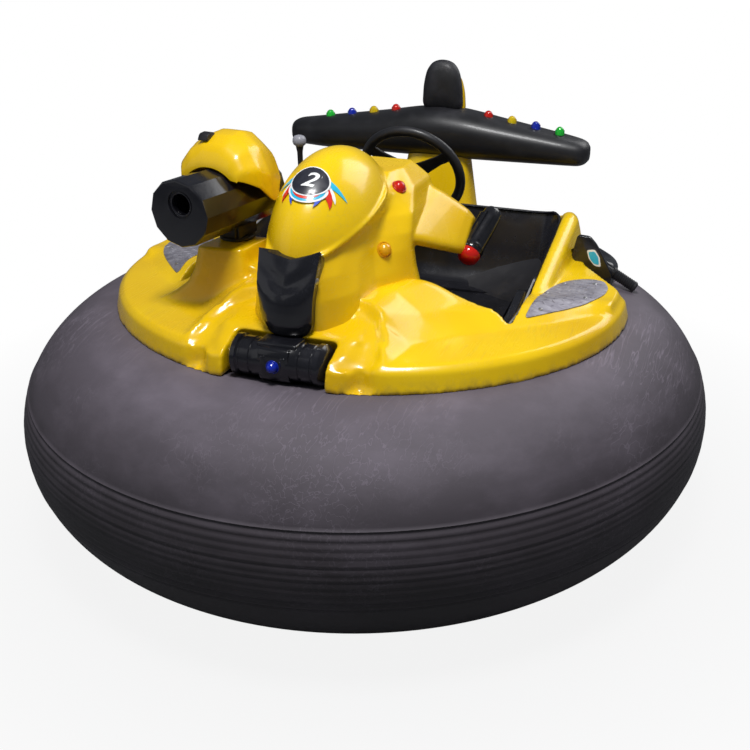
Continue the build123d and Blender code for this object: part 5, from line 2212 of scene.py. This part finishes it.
# ---- Skirts beside the seat, grips and steps ----
@dataclass
class Skirts(Assembly):
    """The black rear cover with its ribbed grips and a plain cyan patch on each side."""

    packed: bpy.types.Object
    root: Point = (0.636, 0.276, 0.65)
    end: Point = (0.728, 0.281, 0.597)
    grip: float = 0.0165
    rings: int = 11
    crown_foot: float = 0.62
    crown_rise: float = 0.12
    drop: float = 0.055
    slope: float = 0.34
    slope_start: float = 0.27
    rear_drop: float = 0.075
    corner_x: float = 0.4
    corner_run: float = 0.12
    flank_x: float = 0.5
    flank_run: float = 0.05
    flank_y: float = 0.36
    flank_fade: float = 0.08
    cheek_front: float = 0.246
    cheek_thick: float = 0.016
    cheek: Rows = ((0.545, 0.752), (0.582, 0.75), (0.604, 0.727), (0.622, 0.698), (0.64, 0.668),
                   (0.657, 0.637), (0.652, 0.6), (0.56, 0.62), (0.53, 0.68))
    leaf_centre: tuple[float, float] = (0.598, 0.688)
    leaf: Rows = ((-0.022, 0.022), (0.002, 0.026), (0.018, 0.004), (0.024, -0.026), (0.004, -0.024),
                  (-0.014, -0.004))

    def cover(self) -> None:
        """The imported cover, its crown lowered and its edges softened."""
        cover = Piece.copied("rear_skirt", self.packed)
        cover.shaped(self.lowered)
        cover.bevelled(0.004, 3, 35.0)
        self.dress(cover, "gloss_black", ("rear_cover",), 40.0)

    def lowered(self, p: Vector) -> Vector:
        """Lets the cover's crown fall towards the rear so that the seat's rim stands over it.

        Args:
            p: a point of the mesh.
        Returns:
            Where it goes.
        """
        high = clamp((p.z - self.crown_foot) / self.crown_rise)
        corner = ease((abs(p.x) - self.corner_x) / self.corner_run)
        fall = self.drop + clamp(self.slope * (p.y - self.slope_start), 0.0, self.rear_drop) * corner
        flank = ease((abs(p.x) - self.flank_x) / self.flank_run)
        flank *= ease((self.flank_y - p.y) / self.flank_fade)
        return Vector((p.x, p.y, p.z - high * fall * (1 - flank)))

    def grips(self) -> None:
        """A ribbed rubber grip on a round bar at each side."""
        whole = []
        for side in (1, -1):
            start = Vector((side * self.root[0], *self.root[1:]))
            end = Vector((side * self.end[0], *self.end[1:]))
            length = (end - start).length
            profile = [(0.0, 0.0), (0.011, 0.0), (0.011, 0.018), (self.grip + 0.002, 0.02),
                       (self.grip + 0.002, 0.026)]
            pitch = (length - 0.034) / self.rings
            for ring in range(self.rings):
                low = 0.026 + ring * pitch
                profile += [(self.grip - 0.0015, low + 0.15 * pitch),
                            (self.grip - 0.0015, low + 0.35 * pitch), (self.grip, low + 0.5 * pitch),
                            (self.grip, low + 0.85 * pitch)]
            profile += [(self.grip + 0.0005, length - 0.006), (self.grip - 0.003, length - 0.001),
                        (0.0, length)]
            place = at(start) @ (end - start).to_track_quat("Z", "Y").to_matrix().to_4x4()
            whole.append(Piece.turned("grip", profile, 32, place))
        grips = whole[0].joined(whole[1])
        self.dress(grips, "satin_black", ("rear_handles",), 40.0)

    def cheeks(self) -> None:
        """The panel that closes each cover's front end, with a plain leaf-shaped patch on it."""
        for side, hand in SIDES.items():
            outline = [(side * x, z) for x, z in rounded(self.cheek, 0.008, 3)]
            panel = Piece.slab("skirt_cheek_" + hand, outline, self.cheek_front,
                               self.cheek_front + self.cheek_thick, Axis.Y)
            panel.bevelled(0.003, 3, 30.0)
            self.dress(panel, "gloss_black")
            x, z = self.leaf_centre
            for name, finish, grow, lift in (("leaf_edge", "film_white", 1.0, 0.0006),
                                             ("leaf", "film_cyan", 0.76, 0.0012)):
                leaf = [(side * (x + grow * a), z + grow * b) for a, b in rounded(self.leaf, 0.006, 3)]
                patch = Piece.slab(f"{name}_{hand}", leaf, self.cheek_front - lift, self.cheek_front,
                                   Axis.Y)
                self.dress(patch, finish, slot="gloss_black")

    def build(self) -> None:
        """Makes the skirts' pieces."""
        self.cover()
        self.grips()
        self.cheeks()


@dataclass
class Steps(Assembly):
    """The worn sheet steps on the deck, with their screws."""

    outline: Rows = ((0.497, -0.244), (0.545, -0.2), (0.587, -0.157), (0.628, -0.11), (0.653, -0.066),
                     (0.67, -0.01), (0.672, 0.039), (0.653, 0.088), (0.62, 0.095), (0.585, 0.083),
                     (0.553, 0.055), (0.532, 0.02), (0.512, -0.072))
    top: float = 0.6752
    thick: float = 0.003
    inset: float = 0.01
    screws: Rows = ((0.528, -0.192), (0.625, -0.072), (0.632, 0.055), (0.549, 0.03), (0.519, -0.07))
    stud_rows: tuple[int, int] = (16, 8)
    stud: Point = (0.007, 0.0018, 0.001)
    stud_clear: float = 0.014

    def plate(self, side: int, name: str, deck: Callable[[float, float], float]) -> None:
        """One step with its raised studs and its screws.

        Args:
            side: 1 for the car's left, -1 for its right.
            name: the name of that side.
            deck: gives the height of the deck.
        """
        plan = [(side * x, y) for x, y in rounded(self.outline, 0.018, 4)]
        base = Piece.slab("step_" + name, plan, 0.0, self.thick).bevelled(0.0012, 2, 40.0)
        with base.editing():
            pick_all()
            bpy.ops.mesh.quads_convert_to_tris()
            for _ in range(2):
                pick_all()
                bpy.ops.mesh.subdivide(number_cuts=1)
        studs = []
        xs = [x for x, _ in plan]
        ys = [y for _, y in plan]
        rows, columns = self.stud_rows
        for row in range(rows):
            for column in range(columns):
                x = min(xs) + (max(xs) - min(xs)) * (column + 0.5) / columns
                y = min(ys) + (max(ys) - min(ys)) * (row + 0.5) / rows
                if not self.inside(x, y, plan):
                    continue
                turn = 45.0 if (row + column) % 2 else -45.0
                stud = Piece.ball("stud", (0, 0, 0), self.stud, 10, 6)
                stud.placed(at((x, y, self.thick)) @ spun(turn, "Z"))
                studs.append(stud)
        base.joined(*studs)
        base.shaped(lambda p: Vector((p.x, p.y, p.z + deck(p.x, p.y))))
        self.dress(base, "step_aluminium", ("footplate_" + name,), 30.0)
        heads = []
        for x, y in self.screws:
            spot = at((side * x, y, deck(side * x, y) + self.thick))
            heads.append(Piece.turned("step_screws_" + name,
                                      [(0.0, -0.001), (0.0062, -0.001), (0.006, 0.0008), (0.004, 0.0021),
                                       (0.0, 0.0025)], 18, spot))
        self.dress(heads[0].joined(*heads[1:]), "zinc", slot="step_aluminium")

    def inside(self, x: float, y: float, plan: Rows) -> bool:
        """Whether a stud at that spot stays clear of the plate's edge and screws.

        Args:
            x: place across.
            y: place along.
            plan: the plate's outline.
        Returns:
            Whether it does.
        """
        hits = 0
        for (ax, ay), (bx, by) in zip(plan, [*plan[1:], plan[0]]):
            if (ay > y) != (by > y) and x < ax + (y - ay) * (bx - ax) / (by - ay):
                hits += 1
            if hypot(x - ax, y - ay) < self.inset:
                return False
        return hits % 2 == 1 and all(hypot(abs(x) - sx, y - sy) > self.stud_clear
                                      for sx, sy in self.screws)

    def build(self) -> None:
        """Makes the step on each side."""
        skin = bpy.data.objects["yellow_deck"]

        def deck(x: float, y: float) -> float:
            """Height of the moulded deck under a spot of the step."""
            met, place, _, _ = skin.ray_cast(Vector((x, y, self.top + 0.1)), Vector((0.0, 0.0, -1.0)))
            return place.z if met else self.top - self.thick

        for side, name in SIDES.items():
            self.plate(side, name, deck)


# ---- Printed films ----
@dataclass
class Films(Assembly):
    """The number disc on the nose and the plain coloured shapes round it."""

    cowl: Cowl
    angle: float = 59.5
    reach: float = 0.259
    disc: Point = (0.041, 0.041)
    number: float = 0.06
    lift: float = 0.0006
    shift: float = 0.01
    swell: float = 0.2
    overlap: float = 0.985
    sweep: float = 26

    def laid(self, piece: Piece, layer: int) -> Piece:
        """Lays a flat piece drawn in X (across) and Y (up the nose) on the egg.

        Args:
            piece: the flat piece.
            layer: how many films lie under it.
        Returns:
            The same piece.
        """
        centre, half = Vector(self.cowl.nose_centre), self.cowl.nose_half
        tilt = Matrix.Rotation(radians(self.cowl.nose_tilt), 3, "X")
        start = radians(self.angle)

        def onto(p: Vector) -> Vector:
            """Wraps a point over the egg, rising along the nose.

            Args:
                p: a point of the mesh.
            Returns:
                Where it goes.
            """
            angle = start + p.y / self.reach
            across = (p.x + self.shift) / half[0]
            width = sqrt(max(0.0, 1.0 - across * across))
            grow = 1.0 + (self.lift * layer + p.z) / self.swell
            spot = Vector(((p.x + self.shift) * grow, -half[1] * cos(angle) * width * grow,
                           half[2] * sin(angle) * width * grow))
            return centre + tilt @ spot

        with piece.editing():
            pick_all()
            bpy.ops.mesh.quads_convert_to_tris()
            bpy.ops.mesh.subdivide(number_cuts=2)
        return piece.shaped(onto)

    def film(self, name: str, outline: Rows, finish: str, layer: int) -> None:
        """One thin shape of film on the nose.

        Args:
            name: name of the new piece.
            outline: its outline.
            finish: name of its finish.
            layer: how many films lie under it.
        """
        shape = Piece.slab(name, outline, -0.0004, 0.0004)
        self.laid(shape, layer)
        self.dress(shape, finish, (), 60.0, slot="body_yellow")

    def crescent(self, inner: float, outer: float, low: float, high: float, tip: float) -> Outline:
        """A crescent under the disc, from one angle to the other, thickest in the middle.

        Args:
            inner: its inner radius.
            outer: its outer radius.
            low: its first angle.
            high: its last angle.
            tip: how blunt its tips are, less is blunter.
        Returns:
            Its outline.
        """
        spots = []
        for step in range(25):
            share = step / 24
            a = radians(low + (high - low) * share)
            reach = inner + (outer - inner) * sin(pi * share) ** tip
            spots.append((reach * cos(a), reach * sin(a)))
        for step in range(24, -1, -1):
            a = radians(low + (high - low) * step / 24)
            spots.append((inner * self.overlap * cos(a), inner * self.overlap * sin(a)))
        return spots

    def wing(self, side: int, turn: float, reach: float, width: float, root: float) -> Outline:
        """One curved blade fanning out from the disc.

        Args:
            side: 1 for the car's left, -1 for its right.
            turn: its direction in degrees below the side.
            reach: how far its tip is from the middle.
            width: half its width.
            root: where it starts.
        Returns:
            Its outline.
        """
        spots = []
        for step in range(13):
            share = step / 12
            bend = radians(turn + self.sweep * share)
            spots.append((root + (reach - root) * share, bend, width * (1 - share) ** 0.8))
        left = [(side * r * cos(a + w / r), -r * sin(a + w / r)) for r, a, w in spots]
        right = [(side * r * cos(a - w / r), -r * sin(a - w / r)) for r, a, w in spots]
        return [*left, *right[::-1][1:]]

    def build(self) -> None:
        """Lays every film."""
        for side, hand in SIDES.items():
            self.film("blade_cyan_" + hand, self.wing(side, -14.0, 0.082, 0.012, 0.043), "film_cyan", 2)
            self.film("blade_white_" + hand, self.wing(side, 8.0, 0.076, 0.01, 0.043), "film_white", 3)
            self.film("blade_red_" + hand, self.wing(side, 22.0, 0.084, 0.012, 0.043), "film_red", 4)
            self.film("blade_blue_" + hand, self.wing(side, 44.0, 0.074, 0.011, 0.043), "film_blue", 5)
        self.film("crescent_white", self.crescent(0.045, 0.062, 195.0, 345.0, 0.7), "film_white", 6)
        self.film("crescent_cyan", self.crescent(0.044, 0.058, 205.0, 335.0, 0.8), "film_cyan", 7)
        self.film("crescent_red", self.crescent(0.044, 0.052, 222.0, 318.0, 0.8), "film_red", 8)
        wide, tall = self.disc
        rim = [(1.1 * x, 1.1 * y) for x, y in oval(wide, tall, 48)]
        self.film("disc_rim", rim, "film_white", 9)
        self.film("disc", oval(wide * 1.02, tall * 1.02, 48), "film_slate", 10)
        figure = Piece.lettering("number", "2", self.number, 0.25)
        self.laid(figure, 12)
        self.dress(figure, "film_white", (), 60.0, slot="body_yellow")


# ---- Running gear ----
@dataclass
class Tyre(Assembly):
    """One solid tyre with tread grooves, and its rim with bolts."""

    body: str
    node: str
    rim_node: str
    hub: Point
    radius: float
    half: float
    rim_radius: float
    grooves: int = 3
    blocks: int = 36
    slot: float = 0.003
    bolts: int = 5
    bolt_circle: float = 0.62

    def place(self) -> Matrix:
        """Frame of the wheel, its z axis along the axle."""
        return at(self.hub) @ spun(90, "Y")

    def tyre(self) -> None:
        """The tyre: rounded shoulders, round grooves and side slots."""
        step = 2 * self.half / (2 * self.grooves + 1)
        profile = [(self.rim_radius, -self.half), (self.radius * 0.86, -self.half),
                   (self.radius - 0.005, -self.half + 0.002), (self.radius - 0.001, -self.half + 0.006)]
        for groove in range(self.grooves):
            low = -self.half + (2 * groove + 1) * step
            profile += [(self.radius, low + 0.1 * step), (self.radius - 0.004, low + 0.2 * step),
                        (self.radius - 0.004, low + 0.8 * step), (self.radius, low + 0.9 * step)]
        profile += [(self.radius - 0.001, self.half - 0.006), (self.radius - 0.005, self.half - 0.002),
                    (self.radius * 0.86, self.half), (self.rim_radius, self.half)]
        tyre = Piece.turned(self.node + "_tread", profile, 2 * self.blocks, None, True)

        def slotted(p: Vector) -> Vector:
            """Sinks every other step of the shoulders for side slots.

            Args:
                p: a point of the mesh.
            Returns:
                Where it goes.
            """
            reach, turn = hypot(p.x, p.y), atan2(p.y, p.x)
            if reach < self.radius * 0.93 or abs(p.z) < self.half * 0.55:
                return p.copy()
            step_index = round(turn / tau * 2 * self.blocks)
            share = 1.0 - (self.slot / reach if step_index % 2 else 0.0)
            return Vector((p.x * share, p.y * share, p.z))

        tyre.shaped(slotted).placed(self.place())
        self.dress(tyre, "tyre_black", (self.node,), slot="tyre", body=self.body)

    def rim(self) -> None:
        """The rim: a dished disc with a hub and a ring of bolts."""
        r, h = self.rim_radius, self.half
        profile = [(0.0, -h), (r * 0.35, -h), (r * 0.38, -h + 0.003), (r * 0.4, -h + 0.008),
                   (r * 0.84, -h + 0.008), (r * 0.9, -h + 0.003), (r, -h), (r, h), (r * 0.9, h - 0.003),
                   (r * 0.84, h - 0.008), (r * 0.4, h - 0.008), (r * 0.38, h - 0.003), (r * 0.35, h),
                   (0.0, h)]
        rim = Piece.turned(self.rim_node + "_dish", profile, 56, self.place())
        bolts = []
        for count in range(self.bolts):
            angle = tau * count / self.bolts
            for side in (-1, 1):
                spot = at((r * self.bolt_circle * cos(angle), r * self.bolt_circle * sin(angle),
                           side * (h - 0.008)))
                head = Piece.turned(
                    "bolt", [(0.0, -0.004), (0.005, -0.004), (0.005, 0.004), (0.0, 0.0045)], 6)
                flip = spun(180 if side < 0 else 0, "X")
                bolts.append(head.placed(self.place() @ spot @ flip))
        self.dress(rim.joined(*bolts), "rim_grey", (self.rim_node,), 30.0, body=self.body)

    def build(self) -> None:
        """Makes the tyre and its rim."""
        self.tyre()
        self.rim()


@dataclass
class Motor(Assembly):
    """The drive motor with its cooling fins and end cover."""

    centre: Point = (0.0, -0.19, 0.088)
    span: tuple[float, float] = (0.041, 0.146)
    radius: float = 0.048
    fins: int = 9

    def build(self) -> None:
        """Turns the finned housing and its end cover."""
        start, end = self.span
        profile = [(0.0, start), (self.radius, start), (self.radius, start + 0.01)]
        pitch = (end - start - 0.03) / self.fins
        for fin in range(self.fins):
            low = start + 0.012 + fin * pitch
            profile += [(self.radius - 0.004, low + 0.1 * pitch),
                        (self.radius - 0.004, low + 0.5 * pitch), (self.radius, low + 0.6 * pitch),
                        (self.radius, low + 0.95 * pitch)]
        profile += [(self.radius, end - 0.012), (self.radius - 0.006, end - 0.003), (0.02, end - 0.001),
                    (0.0, end)]
        place = at(self.centre) @ spun(90, "Y")
        motor = Piece.turned("motor", profile, 56, place)
        self.dress(motor, "motor_black", ("drive_motor",), body="drive_fork")


@dataclass
class Battery(Assembly):
    """The battery tray: cells in a row with lids, caps and posts."""

    low: Point = (-0.21, 0.07, 0.255)
    high: Point = (0.21, 0.31, 0.425)
    cells: int = 4
    caps: int = 3
    gap: float = 0.003

    def build(self) -> None:
        """Makes the cells in a row with their lids and caps."""
        (x0, y0, z0), (x1, y1, z1) = self.low, self.high
        pitch = (x1 - x0) / self.cells
        parts = []
        for cell in range(self.cells):
            a, b = x0 + cell * pitch + self.gap / 2, x0 + (cell + 1) * pitch - self.gap / 2
            parts.append(Piece.block("cell", (a, y0, z0), (b, y1, z1 - 0.03)).bevelled(0.004, 2))
            parts.append(Piece.block("lid", (a + 0.002, y0 + 0.002, z1 - 0.03),
                                     (b - 0.002, y1 - 0.002, z1 - 0.012)).bevelled(0.003, 2))
            for cap in range(self.caps):
                spot = ((a + b) / 2, y0 + (y1 - y0) * (cap + 1) / (self.caps + 1), z1 - 0.012)
                parts.append(Piece.turned("cap", [(0.0, 0.0), (0.011, 0.0), (0.011, 0.005), (0.0, 0.006)],
                                          20, at(spot)))
            for side, share in ((-1, 0.1), (1, 0.9)):
                spot = ((a + b) / 2 + side * 0.022, y0 + (y1 - y0) * share, z1 - 0.012)
                parts.append(Piece.turned("post", [(0.0, 0.0), (0.008, 0.0), (0.007, 0.011), (0.0, 0.012)],
                                          16, at(spot)))
        parts.append(Piece.block("tray", (x0, y0, z0), (x1, y1, z0 + 0.008)))
        self.dress(parts[0].joined(*parts[1:]), "battery_case", ("battery_block",), 30.0)


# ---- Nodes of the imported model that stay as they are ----
@dataclass
class CarriedOver(Assembly):
    """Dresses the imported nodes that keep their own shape."""

    frame: dict
    finish_of_slot: dict[str, str] = field(default_factory=lambda: {"tyre": "tyre_black"})

    def build(self) -> None:
        """Gives each node its slot's finish."""
        slots = {row["node"]: row["material_slot"] for row in self.frame["record"]["subparts"]}
        for name, thing in self.frame["nodes"].items():
            finish = self.finish_of_slot.get(slots[name], slots[name])
            thing.data.materials.clear()
            thing.data.materials.append(self.finishes[finish])


def assemblies(finishes: Finishes, frame: dict) -> list:
    """The car's sub-assemblies, in the order they are built.

    Args:
        finishes: the car's finishes.
        frame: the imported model.
    Returns:
        The sub-assemblies.
    """
    nodes = frame["nodes"]
    rear = 0.225
    tyres = [Tyre(finishes, "drive_wheel", "drive_tyre", "drive_rim", (0.0, -0.19, 0.088), 0.088, 0.025,
                  0.054, 2, 32)]
    tyres += [Tyre(finishes, "rear_wheel_" + name, "rear_tyre_" + name, "rear_rim_" + name,
                   (side * rear, 0.215, 0.08), 0.08, 0.021, 0.05, 1, 30)
              for side, name in SIDES.items()]
    return [CarriedOver(finishes, frame), Tube(finishes), FloorTub(finishes, nodes["floor_tub"]),
            YellowBody(finishes), Bucket(finishes), Wing(finishes), HeadPad(finishes), Cannon(finishes),
            Grille(finishes), LampBar(finishes), Lamps(finishes), Pods(finishes), Controls(finishes),
            Skirts(finishes, nodes["rear_cover"]), Steps(finishes), Films(finishes, Cowl()), *tyres,
            Motor(finishes), Battery(finishes)]


# ---- Studio ----
@dataclass
class Studio:
    """Floor, lamps, sky and the camera."""

    eye: Point = (0.913, -2.302, 1.521)
    azimuth: float = 15.47
    elevation: float = 23.3
    roll: float = 1.52
    lens: float = 42.96
    shift: Point = (-0.12, -0.0533)
    floor_size: float = 60.0
    near: float = 0.88
    sky_tint: Point = (0.82, 0.9, 1.0)
    fade: Point = (0.9, 1.9)
    target: Point = (0, 0, 0.6)
    lamps: Sequence[tuple[str, Point, float, float]] = (
        ("key", (0.5, -1.5, 4.8), 1.1, 185), ("fill", (-3.0, -2.8, 2.4), 3.0, 8),
        ("rim", (1.9, 3.0, 3.2), 2.4, 52))

    def camera(self) -> None:
        """Sets the camera at the viewing angle, with the framing's shift."""
        a, e, r = (radians(v) for v in (self.azimuth, self.elevation, self.roll))
        look = Vector((-sin(a) * cos(e), cos(a) * cos(e), -sin(e)))
        side = look.cross(Vector((0, 0, 1))).normalized()
        rise = side.cross(look)
        right = side * cos(r) + rise * sin(r)
        up = rise * cos(r) - side * sin(r)
        data = bpy.data.cameras.new("camera")
        data.lens = self.lens
        data.shift_x, data.shift_y = self.shift
        camera = bpy.data.objects.new("camera", data)
        camera.matrix_world = at(self.eye) @ Matrix((
            (right.x, up.x, -look.x, 0), (right.y, up.y, -look.y, 0), (right.z, up.z, -look.z, 0),
            (0, 0, 0, 1)))
        bpy.context.scene.collection.objects.link(camera)
        bpy.context.scene.camera = camera

    def floor(self) -> None:
        """A wide pale floor that keeps the car's shadow and looks white to the camera."""
        deselect()
        bpy.ops.mesh.primitive_plane_add(size=self.floor_size)
        floor = bpy.context.active_object
        floor.name = "floor"
        recipe = Recipe("floor")
        tree = recipe.tree
        seen = recipe.node("ShaderNodeLightPath", output="Is Camera Ray")
        glow = recipe.node("ShaderNodeEmission", {}, {"Color": (1.0, 1.0, 1.0), "Strength": 1.0})
        both = tree.nodes.new("ShaderNodeMixShader")
        away = recipe.node("ShaderNodeVectorMath", {"operation": "LENGTH"}, {"Vector": recipe.spot},
                           "Value")
        plain = Wire(tree, recipe.shader.outputs[0])
        share = seen * (self.near + (1 - self.near) * away.span(*self.fade))
        for socket, wire in zip(both.inputs, (share, plain, glow)):
            tree.links.new(wire.socket, socket)
        tree.links.new(both.outputs[0],
                       next(n for n in tree.nodes if n.type == "OUTPUT_MATERIAL").inputs[0])
        recipe.set(Base_Color=(0.2, 0.2, 0.21), Roughness=0.9)
        floor.data.materials.append(recipe.material)

    def lamp(self, name: str, spot: Point, size: float, watts: float) -> None:
        """A square soft lamp aimed at the car's middle.

        Args:
            name: name of the lamp.
            spot: where it stands.
            size: length of its sides.
            watts: its power.
        """
        data = bpy.data.lights.new(name, "AREA")
        data.size = size
        data.energy = watts
        lamp = bpy.data.objects.new(name, data)
        lamp.location = spot
        lamp.rotation_euler = (Vector(self.target) - Vector(spot)).to_track_quat("-Z", "Y").to_euler()
        bpy.context.scene.collection.objects.link(lamp)

    def sky(self) -> None:
        """A plain pale sky: white behind the car, softer as light."""
        world = bpy.data.worlds.new("sky")
        bpy.context.scene.world = world
        world.use_nodes = True
        tree = world.node_tree
        back = next(n for n in tree.nodes if n.type == "BACKGROUND")
        paths = tree.nodes.new("ShaderNodeLightPath")
        seen = Wire(tree, paths.outputs["Is Camera Ray"])
        shiny = Wire(tree, paths.outputs["Is Glossy Ray"])
        through = Wire(tree, paths.outputs["Is Transmission Ray"])
        feed(tree, back.inputs["Strength"], 0.3 + seen * 0.75 - shiny * 0.2 + through * 0.3)
        mix = tree.nodes.new("ShaderNodeMix")
        mix.data_type = "RGBA"
        feed(tree, mix.inputs[0], seen)
        mix.inputs[6].default_value = (*self.sky_tint, 1.0)
        mix.inputs[7].default_value = (1.0, 1.0, 1.0, 1.0)
        tree.links.new(mix.outputs[2], back.inputs["Color"])

    def build(self) -> None:
        """Makes the whole studio."""
        self.camera()
        self.floor()
        self.sky()
        for lamp in self.lamps:
            self.lamp(*lamp)
        bpy.context.scene.view_settings.view_transform = "Standard"


def main() -> None:
    """Loads the frame, builds the car's looks piece by piece and the studio round it."""
    logging.basicConfig(level=logging.INFO, format="%(message)s")
    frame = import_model()
    finishes = Finishes()
    for assembly in assemblies(finishes, frame):
        assembly.build()
    Studio().build()


if __name__ == "__main__":
    main()
